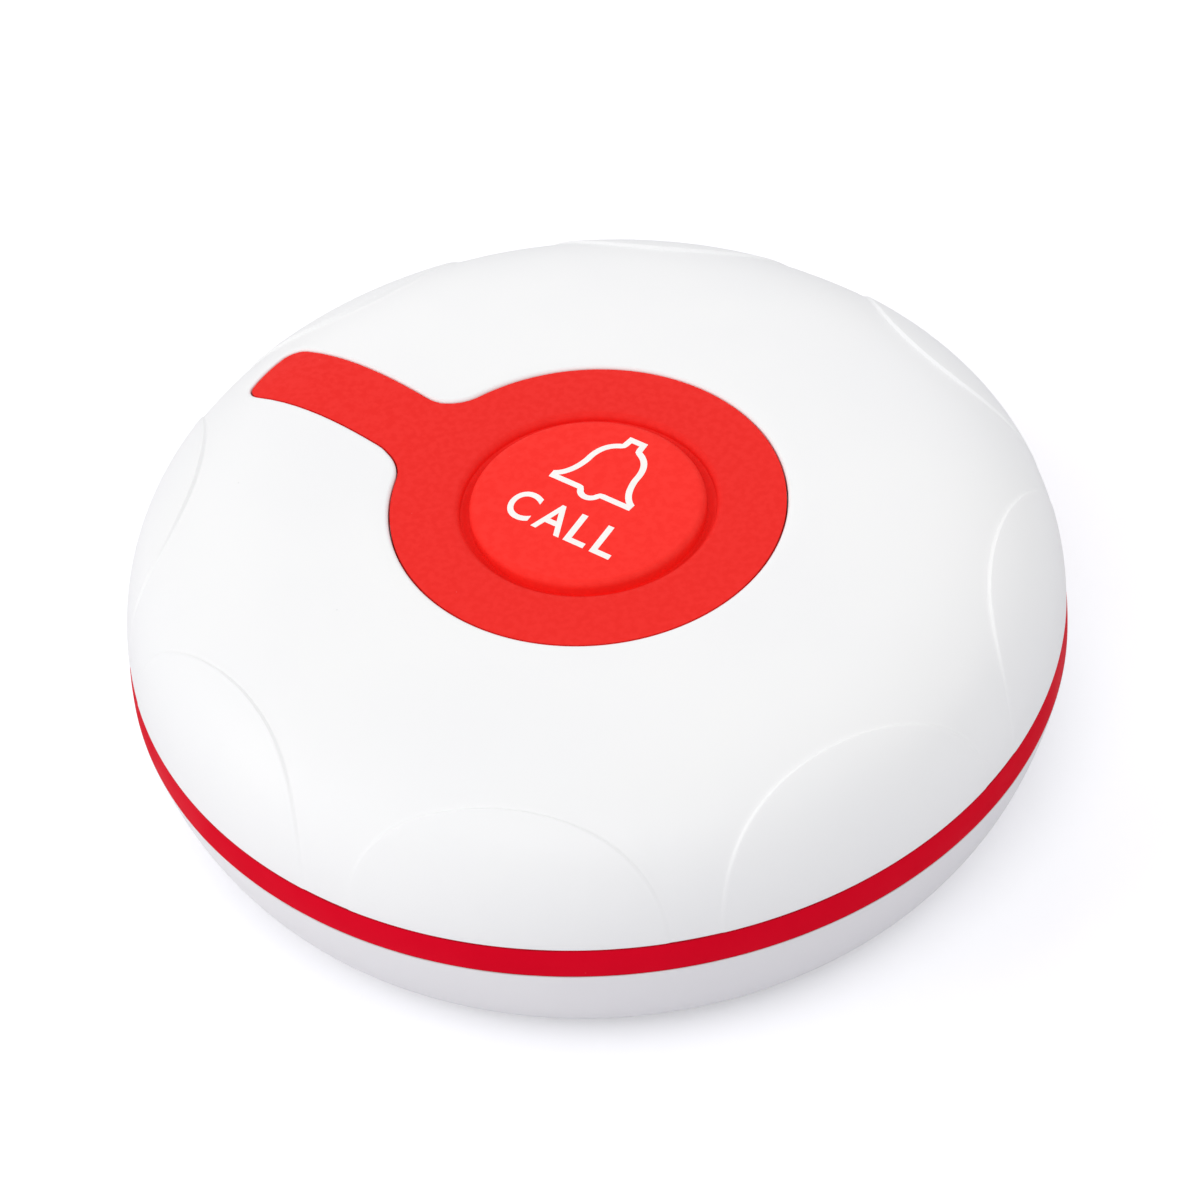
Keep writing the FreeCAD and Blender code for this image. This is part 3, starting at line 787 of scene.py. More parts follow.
button = turned("call_button_disc", button_section(), button_steps)
stands_for(button, "call_button", "button")

# %% [markdown]
# The button carries a white print, which says what it does: a plain hand bell and the word CALL.
# Half of the bell's outline is the clapper's arc, a blunt foot, two curves and a knob. It is
# mirrored, and a second outline lies inside it by the width of the line. Where the line turns a
# sharp corner the inner outline would cross itself, so points too near the outer one are left out.
# Filling the space between the two outlines gives the line.

# %% The bell of the print
print_middle = -0.38 * mm
bell_base = 0.70 * mm
line_width = 0.56 * mm
dot_step = 0.08 * mm
keep_share = 0.99
clapper_drop = 0.80 * mm
clapper_half = 1.14 * mm
bell_foot = (4.10 * mm, 0.0)
bell_heel = (4.15 * mm, 0.80 * mm)
bell_waist = (2.75 * mm, 3.4 * mm)
bell_neck = (1.0 * mm, 6.5 * mm)
bell_knob = (0.90 * mm, 7.55 * mm)


def bell_plan():
    radius = (clapper_half ** 2 + clapper_drop ** 2) / (2 * clapper_drop)
    centre = (0, radius - clapper_drop)
    swing = math.atan2(-centre[1], clapper_half)
    clapper = arc(centre, radius, -math.pi / 2, swing, math.radians(9))
    base = [(clapper_half + (bell_foot[0] - clapper_half) * i / 8, 0) for i in range(1, 9)]
    skirt = bezier([bell_heel, (3.35 * mm, 1.20 * mm), (2.90 * mm, 2.2 * mm), bell_waist], 14)
    shoulder = bezier([bell_waist, (2.75 * mm, 4.7 * mm), (2.35 * mm, 5.9 * mm), bell_neck], 16)[1:]
    half = clapper + base + skirt + shoulder + [bell_knob]
    return half + [(-x, y) for x, y in reversed(half[1:])]


def inner_plan(plan, width):
    """The outline inside another one, without the points that come too near to it."""
    dense = []
    for a, b in zip(plan, plan[1:] + plan[:1]):
        count = math.ceil(math.dist(a, b) / dot_step)
        dense += [(a[0] + (b[0] - a[0]) * i / count, a[1] + (b[1] - a[1]) * i / count) for i in range(count)]
    kept = []
    for point in outward(dense, -width):
        spot = Vector(point)
        gaps = []
        for a, b in zip(plan, plan[1:] + plan[:1]):
            a, b = Vector(a), Vector(b)
            share = max(0.0, min(1.0, (spot - a).dot(b - a) / (b - a).length_squared))
            gaps.append((a + (b - a) * share - spot).length)
        if min(gaps) > keep_share * width:
            kept.append(point)
    return kept


def place_print(points):
    return [(print_middle + x, bell_base + y, 0) for x, y in points]


inside = draw("print_inside", place_print(inner_plan(bell_plan(), line_width)))
bell = join([draw("print_bell", place_print(bell_plan())), inside])
edit(bell)
bpy.ops.mesh.select_mode(type="EDGE")
bpy.ops.mesh.fill()
bpy.ops.object.mode_set(mode="OBJECT")
print("faces in the bell:", len(bell.data.polygons))

# %% [markdown]
# The letters come from Blender's own font, a plain sans serif. Each letter is made a mesh and then
# scaled to its box, so the word has the height and the spacing of the print in the photo.

# %% The letters of the print
letter_low = -5.0 * mm
letter_height = 3.4 * mm
letter_bold = 0.05 * mm
letter_slant = -0.09
letter_spans = (("C", -5.58 * mm, -2.90 * mm), ("A", -2.36 * mm, 0.50 * mm),
                ("L", 0.62 * mm, 2.94 * mm), ("L", 3.28 * mm, 5.55 * mm))


def make_letter(letter, left, right):
    select_only(bell)
    bpy.ops.object.select_all(action="DESELECT")
    bpy.ops.object.text_add(location=(0, 0, 0))
    piece = bpy.context.object
    piece.data.body = letter
    piece.data.size = letter_height
    piece.data.offset, piece.data.shear = letter_bold, letter_slant
    bpy.ops.object.convert(target="MESH")
    corners = np.array([vertex.co[:2] for vertex in piece.data.vertices])
    low, high = corners.min(axis=0), corners.max(axis=0)
    scale = ((right - left) / (high[0] - low[0]), letter_height / (high[1] - low[1]), 1)
    edit(piece)
    bpy.ops.transform.translate(value=(-low[0], -low[1], 0))
    bpy.ops.transform.resize(value=scale, center_override=(0, 0, 0))
    bpy.ops.transform.translate(value=(left, letter_low, 0))
    bpy.ops.object.mode_set(mode="OBJECT")
    return piece


letters = [make_letter(*span) for span in letter_spans]
print("letters in the print:", len(letters))

# %% [markdown]
# The print has to lie on the crown of the button and not float above it. A Shrinkwrap modifier
# drops it straight down onto the disc, and Solidify gives it the thickness of a coat of ink. Both
# go by the way that a face points, so faces that look down are turned over first.

# %% Lay the print on the button
ink_thickness = 0.02 * mm
ink = join([bell] + letters)
ink.name = ink.data.name = "button_print"
edit(ink)
bpy.ops.transform.translate(value=(0, 0, button_box[1].z + mm))
bpy.ops.mesh.quads_convert_to_tris()
bpy.ops.mesh.select_all(action="DESELECT")
bpy.ops.mesh.select_mode(type="FACE")
bpy.ops.object.mode_set(mode="OBJECT")
for face in ink.data.polygons:
    face.select = face.normal.z < 0
bpy.ops.object.mode_set(mode="EDIT")
bpy.ops.mesh.flip_normals()
bpy.ops.object.mode_set(mode="OBJECT")
drop = ink.modifiers.new("drop", "SHRINKWRAP")
drop.target, drop.wrap_method, drop.offset = button, "PROJECT", ink_lift
drop.use_project_z, drop.use_negative_direction, drop.use_positive_direction = True, True, False
bpy.ops.object.modifier_apply(modifier="drop")
coat = ink.modifiers.new("coat", "SOLIDIFY")
coat.thickness, coat.offset = ink_thickness, -1
bpy.ops.object.modifier_apply(modifier="coat")
bpy.ops.object.shade_smooth_by_angle(angle=smooth_angle)
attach(ink, "button")
ink_top = max(vertex.co.z for vertex in ink.data.vertices)
print("the print reaches", round(ink_top / mm, 3), "mm above the table")

# %% [markdown]
# The band is a soft ring clamped between the cover and the bottom shell. Its outer face swells a
# little, and its edges are rounded, which leaves the fine dark parting lines above and below it.

# %% The red band
band_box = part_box("trim_ring")
band_low = band_box[0].z
base_radius = rim_radius + 0.14 * mm
band_round = 0.12 * mm
band_swell = 0.05 * mm
band_rows = 10


def band_section():
    inner = rim_radius - wall
    points = [(inner, band_low), (base_radius - band_round, band_low)]
    points += round_edge((base_radius - band_round, band_low + band_round), band_round, -90, 0, 4)[1:]
    for i in range(1, band_rows):
        share = i / band_rows
        radius = base_radius + (rim_radius - base_radius) * share + band_swell * math.sin(math.pi * share)
        points.append((radius, band_low + band_round + (rim_level - band_low - 2 * band_round) * share))
    points += round_edge((rim_radius - band_round, rim_level - band_round), band_round, 0, 90, 4)
    return points + [(inner, rim_level)]


band = turned("trim_ring_band", band_section(), rim_steps)
stands_for(band, "trim_ring", "housing")

# %% [markdown]
# The bottom shell leans in under the band and rounds into a flat floor, in one smooth curve with
# four control points. The section goes on under the floor: the seat of the foot ring, and the
# mouth for the battery lid with its collar. Inside, it has the wall and the lip for the cover.

# %% The bottom shell
shell_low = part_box("bottom_shell")[0].z
shell_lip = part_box("bottom_shell")[1].z
foot_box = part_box("foot_ring")
foot_outer = foot_box[1].x
foot_seat = foot_box[1].z
foot_width = 4.0 * mm
foot_gap = 0.1 * mm
bowl_inset = 8.1 * mm
bowl_lean = 1.1 * mm
bowl_pull = 5.3 * mm
bowl_sweep = 4.5 * mm
floor_top = shell_low + 2.0 * mm
mouth_radius = 15.25 * mm
ledge_radius = 13.25 * mm
ledge_low = 2.6 * mm
collar_top = 3.4 * mm
collar_radius = 17.25 * mm
seat_outer = foot_outer + foot_gap
seat_inner = foot_outer - foot_width - foot_gap
lip_outer = 37.7 * mm
lip_inner = 36.3 * mm
shelf_low = band_low - 2.2 * mm


def bowl(inset, low, count):
    """Points down the bowl's curve, from the band to the floor."""
    top, flat = base_radius - inset, base_radius - bowl_inset - inset
    return bezier([(top, band_low), (top - bowl_lean, band_low - bowl_pull), (flat + bowl_sweep, low),
                   (flat, low)], count)


def shell_section():
    corner = (base_radius - band_round, band_low - band_round)
    points = round_edge(corner, band_round, 90, 10, 4)
    points += [p for p in bowl(0, shell_low, 36) if p[1] < corner[1]]
    points += [(seat_outer, shell_low), (seat_outer, foot_seat), (seat_inner, foot_seat),
               (seat_inner, shell_low), (mouth_radius, shell_low), (mouth_radius, ledge_low),
               (ledge_radius, ledge_low), (ledge_radius, collar_top), (collar_radius, collar_top),
               (collar_radius, floor_top)]
    points += [p for p in reversed(bowl(wall, floor_top, 14)) if p[1] < shelf_low]
    return points + [(lip_inner, shelf_low), (lip_inner, shell_lip), (lip_outer, shell_lip),
                     (lip_outer, band_low)]


shell = turned("bottom_shell_bowl", shell_section(), rim_steps)
print("faces in the bowl:", len(shell.data.polygons))

# %% [markdown]
# Four deep round wells in the floor lead to the screws that close the housing. A stepped cutter is
# turned once, copied to each screw and joined, so that one Boolean cuts them all.

# %% The screw wells
well_radius = 2.8 * mm
post_radius = 3.8 * mm
screw_count = 4
screw_seat = 4.4 * mm
screw_hole = 1.6 * mm
screw_head = 2.5 * mm
well_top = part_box("board_screws")[0].z - 0.1 * mm
screw_circle = (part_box("housing_screws")[1].x - screw_head) * math.sqrt(2)


def at_screws(name, section):
    """A small turned piece, copied to the four screws and joined into one mesh."""
    first = turned(name, section, 48)
    copies = []
    for number in range(screw_count):
        turn = full_turn * (number + 0.5) / screw_count
        select_only(first)
        bpy.ops.object.duplicate()
        copies.append(bpy.context.object)
        bpy.ops.transform.translate(value=(screw_circle * math.cos(turn), screw_circle * math.sin(turn), 0))
        bpy.ops.object.transform_apply(location=True, rotation=False, scale=False)
    bpy.data.objects.remove(first)
    return join(copies)


posts = at_screws("well_posts", [(0, shell_low + mm), (post_radius, shell_low + mm),
                                 (post_radius, well_top), (0, well_top)])
wells = at_screws("wells", [(0, shell_low - mm), (well_radius, shell_low - mm), (well_radius, screw_seat),
                            (screw_hole, screw_seat), (screw_hole, well_top + mm), (0, well_top + mm)])
shell = carve(carve(shell, posts, "UNION"), wells)
print("faces in the shell with its wells:", len(shell.data.polygons))

# %% [markdown]
# The lid locks like a bayonet. Three tabs on its neck drop through three notches in the ledge and
# turn under it. One function makes a tab for the lid or, with some play, a notch for the shell.

# %% The bayonet notches
neck_outer = 13.0 * mm
tab_reach = 1.7 * mm
tab_root = 0.7 * mm
tab_count = 3
tab_half = math.radians(13)
tab_play = 0.25 * mm
notch_margin = math.radians(3)
notch_turn = math.radians(30)


def bayonet(name, play, margin, first, low, high):
    """Three tabs round the lid's neck, or the three notches that let them through."""
    tabs = []
    for number in range(tab_count):
        middle = first + full_turn * number / tab_count
        left, right = middle - tab_half - margin, middle + tab_half + margin
        outer = arc((0, 0), neck_outer + tab_reach + play, left, right, math.radians(3))
        inner = arc((0, 0), neck_outer - tab_root, right, left, math.radians(3))
        tabs.append(prism(name, outer + inner, low, high))
    return join(tabs)


notches = bayonet("notch", tab_play, notch_margin, notch_turn, ledge_low - mm / 2, collar_top + mm / 2)
shell = carve(shell, notches)
stands_for(shell, "bottom_shell", "housing")

# %% [markdown]
# The housing stands on a soft ring. It is wider than it is high, and its lower corners are round.

# %% The foot ring
foot_round = 0.25 * mm
foot_inner = foot_outer - foot_width
foot_section = [(foot_inner, foot_seat)]
foot_section += round_edge((foot_inner + foot_round, foot_round), foot_round, 180, 270)
foot_section += round_edge((foot_outer - foot_round, foot_round), foot_round, 270, 360)
foot_section += [(foot_outer, foot_seat)]
foot = turned("foot_ring_soft", foot_section)
stands_for(foot, "foot_ring", "housing")

# %% [markdown]
# The battery lid is a flat disc with a slot for a coin, and a neck with three tabs that lock it
# like a bayonet. The disc and the neck are turned in one section, and the slot is cut afterwards.

# %% The battery lid
lid_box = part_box("battery_lid")
lid_radius = 15.0 * mm
lid_low = lid_box[0].z
lid_flange = lid_low + 1.2 * mm
lid_round = 0.3 * mm
neck_inner = 11.6 * mm
neck_top = lid_box[1].z
tab_low = neck_top - 0.8 * mm
slot_length = 15.0 * mm
slot_width = 2.4 * mm
slot_depth = 0.7 * mm


def lid_section():
    points = [(0, lid_low)] + round_edge((lid_radius - lid_round, lid_low + lid_round), lid_round, 270, 360)
    return points + [(lid_radius, lid_flange), (neck_outer, lid_flange), (neck_outer, neck_top),
                     (neck_inner, neck_top), (neck_inner, lid_flange), (0, lid_flange)]


def coin_slot():
    half, end = slot_width / 2, (slot_length - slot_width) / 2
    plan = arc((end, 0), half, -math.pi / 2, math.pi / 2, math.radians(10))
    plan += arc((-end, 0), half, math.pi / 2, math.pi * 1.5, math.radians(10))
    return prism("coin_slot", plan, lid_low - mm, lid_low + slot_depth)


lid = turned("battery_lid_cap", lid_section())
lid = carve(carve(lid, bayonet("tab", 0, 0, 0, tab_low, neck_top), "UNION"), coin_slot())
stands_for(lid, "battery_lid", "lid")

# %% [markdown]
# The shapes are done, and now come the finishes. No surface is one flat colour. Moulded plastic
# has a fine grain and clouds of slightly warmer tone, silicone picks up lint, metal has scratches,
# and painted shade darkens the parting lines. Each of these effects is a node group with named inputs,
# so every material can place it with its own sizes. All read Object coordinates, in metres.

# %% Helpers for the effect groups


def new_group(name, inputs, outputs):
    """A shader group with named inputs, each with a first value, and named outputs."""
    tree = bpy.data.node_groups.new(name, "ShaderNodeTree")
    for label, (kind, value) in inputs.items():
        socket = tree.interface.new_socket(label, in_out="INPUT", socket_type="NodeSocket" + kind)
        socket.default_value = value
    for label, kind in outputs.items():
        tree.interface.new_socket(label, in_out="OUTPUT", socket_type="NodeSocket" + kind)
    return tree, add(tree, "NodeGroupInput"), add(tree, "NodeGroupOutput")


def fill(tree, node, inputs):
    """Set each input of a node by a number, or link it where a node and a socket are given."""
    for label, value in inputs.items():
        if isinstance(value, tuple) and not isinstance(value[0], (int, float)):
            wire(tree, value, (node, label))
        else:
            node.inputs[label].default_value = value
    return node


def object_places(tree):
    return add(tree, "ShaderNodeTexCoord"), "Object"


def object_axes(tree):
    return fill(tree, add(tree, "ShaderNodeSeparateXYZ"), {0: object_places(tree)})


def sized_noise(tree, size, detail=2.0, roughness=0.5):
    """Noise whose blobs have a real size, given in metres as a number or a socket."""
    noise = add(tree, "ShaderNodeTexNoise", {"Detail": detail, "Roughness": roughness})
    fill(tree, noise, {"Vector": object_places(tree), "Scale": math_node(tree, "DIVIDE", 1.0, size)})
    return noise, "Fac"


def stretched(tree, value, low, high, to_low=0.0, to_high=1.0):
    """Stretch a value from one range to another with a smooth step."""
    node = add(tree, "ShaderNodeMapRange", interpolation_type="SMOOTHSTEP")
    fill(tree, node, {"Value": value, "From Min": low, "From Max": high, "To Min": to_low, "To Max": to_high})
    return node, "Result"


def mixed_colour(tree, mask, first, second):
    """Mix two colours, each a value or a socket, by a mask."""
    node = add(tree, "ShaderNodeMix", data_type="RGBA")
    return fill(tree, node, {0: mask, 6: first, 7: second}), 2


print("group helpers are ready")

# %% [markdown]
# Fine grain is what a spark-eroded mould leaves on plastic: small soft bumps with larger, flatter
# ones under them. The group gives a height for a Bump node.

# %% Grain
grain_group, grain_in, grain_out = new_group(
    "fine_grain", {"Grain Size": ("Float", 0.2 * mm), "Wave Size": ("Float", 6 * mm),
                   "Wave Share": ("Float", 0.5)}, {"Height": "Float"})
fine = sized_noise(grain_group, (grain_in, "Grain Size"), 3.0, 0.6)
wave = sized_noise(grain_group, (grain_in, "Wave Size"), 1.0)
wave = math_node(grain_group, "MULTIPLY", wave, (grain_in, "Wave Share"))
wire(grain_group, math_node(grain_group, "ADD", fine, wave), (grain_out, "Height"))
print("group:", grain_group.name)

# %% [markdown]
# Tone drift mixes two near colours in clouds, as pigment and handling leave them. It also gives
# the cloud itself, so the roughness can follow the same patches.

# %% Tone drift
tone_group, tone_in, tone_out = new_group(
    "tone_drift", {"First Colour": ("Color", (1, 1, 1, 1)), "Second Colour": ("Color", (0.9, 0.9, 0.9, 1)),
                   "Cloud Size": ("Float", 15 * mm)}, {"Colour": "Color", "Cloud": "Float"})
cloud = stretched(tone_group, sized_noise(tone_group, (tone_in, "Cloud Size"), 3.0), 0.32, 0.68)
wire(tone_group, mixed_colour(tone_group, cloud, (tone_in, "First Colour"), (tone_in, "Second Colour")),
     (tone_out, "Colour"))
wire(tone_group, cloud, (tone_out, "Cloud"))
print("group:", tone_group.name)

# %% [markdown]
# Specks are lint on silicone and small pits on plastic. Space is cut into cells, a share of the
# cells carries a speck, and noise bends the cells so that no speck is a perfect dot.

# %% Specks
speck_group, speck_in, speck_out = new_group(
    "specks", {"Cell Size": ("Float", 1.2 * mm), "Share": ("Float", 0.2), "Spread": ("Float", 0.1)},
    {"Mask": "Float"})
ragged = add(speck_group, "ShaderNodeTexNoise", {"Scale": 1 / (0.3 * mm), "Detail": 2.0})
fill(speck_group, ragged, {"Vector": object_places(speck_group)})
bend = add(speck_group, "ShaderNodeVectorMath", {1: (0.15 * mm,) * 3}, operation="MULTIPLY")
fill(speck_group, bend, {0: (ragged, "Color")})
bent = add(speck_group, "ShaderNodeVectorMath", operation="ADD")
fill(speck_group, bent, {0: object_places(speck_group), 1: (bend, 0)})
cells = add(speck_group, "ShaderNodeTexVoronoi", {"Randomness": 1.0})
cell_scale = math_node(speck_group, "DIVIDE", 1.0, (speck_in, "Cell Size"))
fill(speck_group, cells, {"Vector": (bent, 0), "Scale": cell_scale})
lucky = fill(speck_group, add(speck_group, "ShaderNodeSeparateColor"), {"Color": (cells, "Color")})
chosen = math_node(speck_group, "LESS_THAN", (lucky, "Red"), (speck_in, "Share"))
near = stretched(speck_group, (cells, "Distance"), (speck_in, "Spread"), 0.0)
wire(speck_group, math_node(speck_group, "MULTIPLY", chosen, near), (speck_out, "Mask"))
print("group:", speck_group.name)

# %% [markdown]
# The group paints shade along a parting line, and on the foot ring it lays dust. It measures how far
# a point is above or below a level and fades a mask away from it, with noise in it so that the line isn't
# even all round.

# %% Painted shade at a parting line, and dust on the foot
seam_group, seam_in, seam_out = new_group(
    "seam_shade_and_dust", {"Level": ("Float", 0.0), "Reach": ("Float", 0.3 * mm)}, {"Mask": "Float"})
above = math_node(seam_group, "SUBTRACT", (object_axes(seam_group), "Z"), (seam_in, "Level"))
away = math_node(seam_group, "ABSOLUTE", above, 0.0)
share = math_node(seam_group, "DIVIDE", away, (seam_in, "Reach"))
faded = stretched(seam_group, share, 1.0, 0.0)
patchy = stretched(seam_group, sized_noise(seam_group, 4 * mm, 3.0), 0.3, 0.7, 0.55, 1.0)
wire(seam_group, math_node(seam_group, "MULTIPLY", faded, patchy), (seam_out, "Mask"))
print("group:", seam_group.name)

# %% [markdown]
# Scratches on metal are long and thin. The group squeezes Object coordinates across the scratch
# direction before the noise, so that its blobs become lines.

# %% Scratches
scratch_group, scratch_in, scratch_out = new_group(
    "scratches", {"Squeeze": ("Vector", (1, 30, 30)), "Line Size": ("Float", 3 * mm)},
    {"Height": "Float", "Mask": "Float"})
squeezed = add(scratch_group, "ShaderNodeVectorMath", operation="MULTIPLY")
fill(scratch_group, squeezed, {0: object_places(scratch_group), 1: (scratch_in, "Squeeze")})
lines = add(scratch_group, "ShaderNodeTexNoise", {"Detail": 4.0, "Roughness": 0.65})
line_scale = math_node(scratch_group, "DIVIDE", 1.0, (scratch_in, "Line Size"))
fill(scratch_group, lines, {"Vector": (squeezed, 0), "Scale": line_scale})
wire(scratch_group, (lines, "Fac"), (scratch_out, "Height"))
wire(scratch_group, stretched(scratch_group, (lines, "Fac"), 0.45, 0.7), (scratch_out, "Mask"))
print("group:", scratch_group.name)

# %% [markdown]
# Every finish starts in the same way: a Principled shader takes its colour from tone drift, its
# roughness from the same clouds, and its normal from a Bump node fed by grain. The helper builds
# that much and hands back the sockets, so each finish can add what is its own.

# %% A finish to start from


def place_group(tree, group, **inputs):
    """Put a group in a material, with its inputs named by keywords."""
    values = {label.replace("_", " ").title(): value for label, value in inputs.items()}
    return add(tree, "ShaderNodeGroup", values, node_tree=group)


def start_finish(name, colours, cloud_size, grain_size, grain_depth, roughness, constants=None,
                 wave_share=0.5):
    """A material with drifting tone, fine grain and its shader; returns what later steps wire up."""
    material, tree = empty_material(name)
    output = add(tree, "ShaderNodeOutputMaterial")
    shader = add(tree, "ShaderNodeBsdfPrincipled", constants)
    wire(tree, (shader, 0), (output, "Surface"))
    tone = place_group(tree, tone_group, first_colour=(*colours[0], 1), second_colour=(*colours[1], 1),
                       cloud_size=cloud_size)
    grain = place_group(tree, grain_group, grain_size=grain_size, wave_share=wave_share)
    bump = add(tree, "ShaderNodeBump", {"Strength": 1.0, "Distance": grain_depth})
    wire(tree, (grain, "Height"), (bump, "Height"))
    wire(tree, (bump, "Normal"), (shader, "Normal"))
    wire(tree, stretched(tree, (tone, "Cloud"), 0.0, 1.0, *roughness), (shader, "Roughness"))
    wire(tree, (tone, "Colour"), (shader, "Base Color"))
    return material, tree, shader, (tone, "Colour"), bump


def lay_over(tree, shader, colour, mask, second):
    """Put a second colour over the first one by a mask, and pass the result on."""
    colour = mixed_colour(tree, mask, colour, (*second, 1))
    wire(tree, colour, (shader, "Base Color"))
    return colour


def add_specks(tree, shader, colour, cell_size, share, spread, second, strength):
    specks = place_group(tree, speck_group, cell_size=cell_size, share=share, spread=spread)
    return lay_over(tree, shader, colour, math_node(tree, "MULTIPLY", (specks, "Mask"), strength), second)


def add_bump(tree, shader, bump, height, depth):
    """Put a second relief on top of the grain."""
    relief = add(tree, "ShaderNodeBump", {"Strength": 1.0, "Distance": depth})
    fill(tree, relief, {"Height": height, "Normal": (bump, "Normal")})
    wire(tree, (relief, "Normal"), (shader, "Normal"))


def add_seam(tree, shader, colour, level, reach, second, strength):
    seam = place_group(tree, seam_group, level=level, reach=reach)
    return lay_over(tree, shader, colour, math_node(tree, "MULTIPLY", (seam, "Mask"), strength), second)


print("the common start of a finish is ready")

# %% [markdown]
# The white housing is satin plastic. It is nearly clean: the clouds are almost the same white and the
# grain is very fine. Along the parting lines against the red band it gets a painted shade, tinted pink
# as a painted reflection of the band. The cover and the bottom shell come from different moulds, and
# the lower one is slightly greyer.

# %% White plastic
white_constants = {"Specular IOR Level": 0.35, "IOR": 1.5}


def white_plastic(name, first, second):
    material, tree, shader, colour, bump = start_finish(
        name, (first, second), 22 * mm, 0.16 * mm, 0.0035 * mm, (0.42, 0.52), white_constants, 1.2)
    # painted shade at the parting lines above and below the band, tinted pink as a painted reflection of the
    # red band
    colour = add_seam(tree, shader, colour, rim_level, 0.16 * mm, (0.42, 0.30, 0.31), 0.55)
    colour = add_seam(tree, shader, colour, band_low, 0.16 * mm, (0.42, 0.34, 0.33), 0.6)
    add_specks(tree, shader, colour, 5.5 * mm, 0.10, 0.025, (0.55, 0.55, 0.56), 0.35)
    return material


white_top = white_plastic("white_cover_plastic", (0.90, 0.90, 0.90), (0.888, 0.889, 0.895))
white_base = white_plastic("white_base_plastic", (0.86, 0.85, 0.865), (0.845, 0.835, 0.855))
print("materials:", white_top.name, white_base.name)

# %% [markdown]
# Silicone is matt and holds dust. Its red is strong, so the shader reflects little, the grain is a
# bit coarser than on plastic, and pale and dark lint lies on it in ones and twos.

# %% Red silicone
silicone_constants = {"Specular IOR Level": 0.22, "IOR": 1.41}


def red_silicone(name, first, second):
    material, tree, shader, colour, bump = start_finish(
        name, (first, second), 0.6 * mm, 0.12 * mm, 0.006 * mm, (0.60, 0.70), silicone_constants, 0.3)
    colour = add_specks(tree, shader, colour, 1.1 * mm, 0.16, 0.06, (0.95, 0.30, 0.27), 0.5)
    add_specks(tree, shader, colour, 1.7 * mm, 0.12, 0.05, (0.40, 0.01, 0.012), 0.5)
    return material


red_pad = red_silicone("red_pad_silicone", (0.87, 0.0205, 0.0150), (0.84, 0.0180, 0.0130))
red_disc = red_silicone("red_button_silicone", (0.98, 0.0290, 0.0200), (0.95, 0.0250, 0.0175))
print("materials:", red_pad.name, red_disc.name)

# %% [markdown]
# The print is white ink, screened onto the silicone. It is a touch warm, it is slightly uneven in
# cover, and the rough silicone shows through it in pin holes.

# %% White ink
ink_white, tree, shader, colour, bump = start_finish(
    "white_ink", ((0.95, 0.93, 0.90), (0.93, 0.90, 0.87)), 1.5 * mm, 0.10 * mm, 0.003 * mm, (0.50, 0.62),
    {"Specular IOR Level": 0.3}, 0.3)
add_specks(tree, shader, colour, 0.5 * mm, 0.12, 0.10, (0.85, 0.30, 0.26), 0.5)
print("material:", ink_white.name)

# %% [markdown]
# The band is a darker, slightly bluer red than the pad. Both of its edges get a painted shade, where it meets
# the white shells.

# %% Red band
band_red, tree, shader, colour, bump = start_finish(
    "red_band_silicone", ((0.72, 0.0014, 0.0175), (0.69, 0.0012, 0.0160)), 9 * mm, 0.14 * mm, 0.004 * mm,
    (0.50, 0.62), {"Specular IOR Level": 0.02}, 0.6)
# painted shade along the band's top and bottom edges, at the parting lines
colour = add_seam(tree, shader, colour, rim_level, 0.22 * mm, (0.20, 0.004, 0.008), 0.8)
colour = add_seam(tree, shader, colour, band_low, 0.22 * mm, (0.20, 0.004, 0.008), 0.8)
add_specks(tree, shader, colour, 2.2 * mm, 0.10, 0.04, (0.75, 0.18, 0.18), 0.35)
print("material:", band_red.name)

# %% [markdown]
# The foot ring is grey rubber. It stands on the table, so its lowest edge is dusty.

# %% Grey rubber
foot_grey, tree, shader, colour, bump = start_finish(
    "grey_foot_rubber", ((0.26, 0.26, 0.27), (0.20, 0.20, 0.21)), 4 * mm, 0.25 * mm, 0.02 * mm, (0.70, 0.88),
    {"Specular IOR Level": 0.3})
colour = add_seam(tree, shader, colour, 0.0, 0.35 * mm, (0.46, 0.44, 0.41), 0.6)
add_specks(tree, shader, colour, 1.3 * mm, 0.25, 0.08, (0.52, 0.50, 0.47), 0.5)
print("material:", foot_grey.name)

# %% [markdown]
# The inner parts are plain shop parts. Black and white plastic, ceramic and the clear red lamp
# need only the common start, with their own colours and specks.

# %% Plastics and ceramic inside


def plain_part(name, colours, cloud_size, grain_size, grain_depth, roughness, speck, constants=None):
    """A finish with one kind of speck on the common start."""
    material, tree, shader, colour, bump = start_finish(
        name, colours, cloud_size, grain_size, grain_depth, roughness, constants)
    add_specks(tree, shader, colour, *speck)
    return material


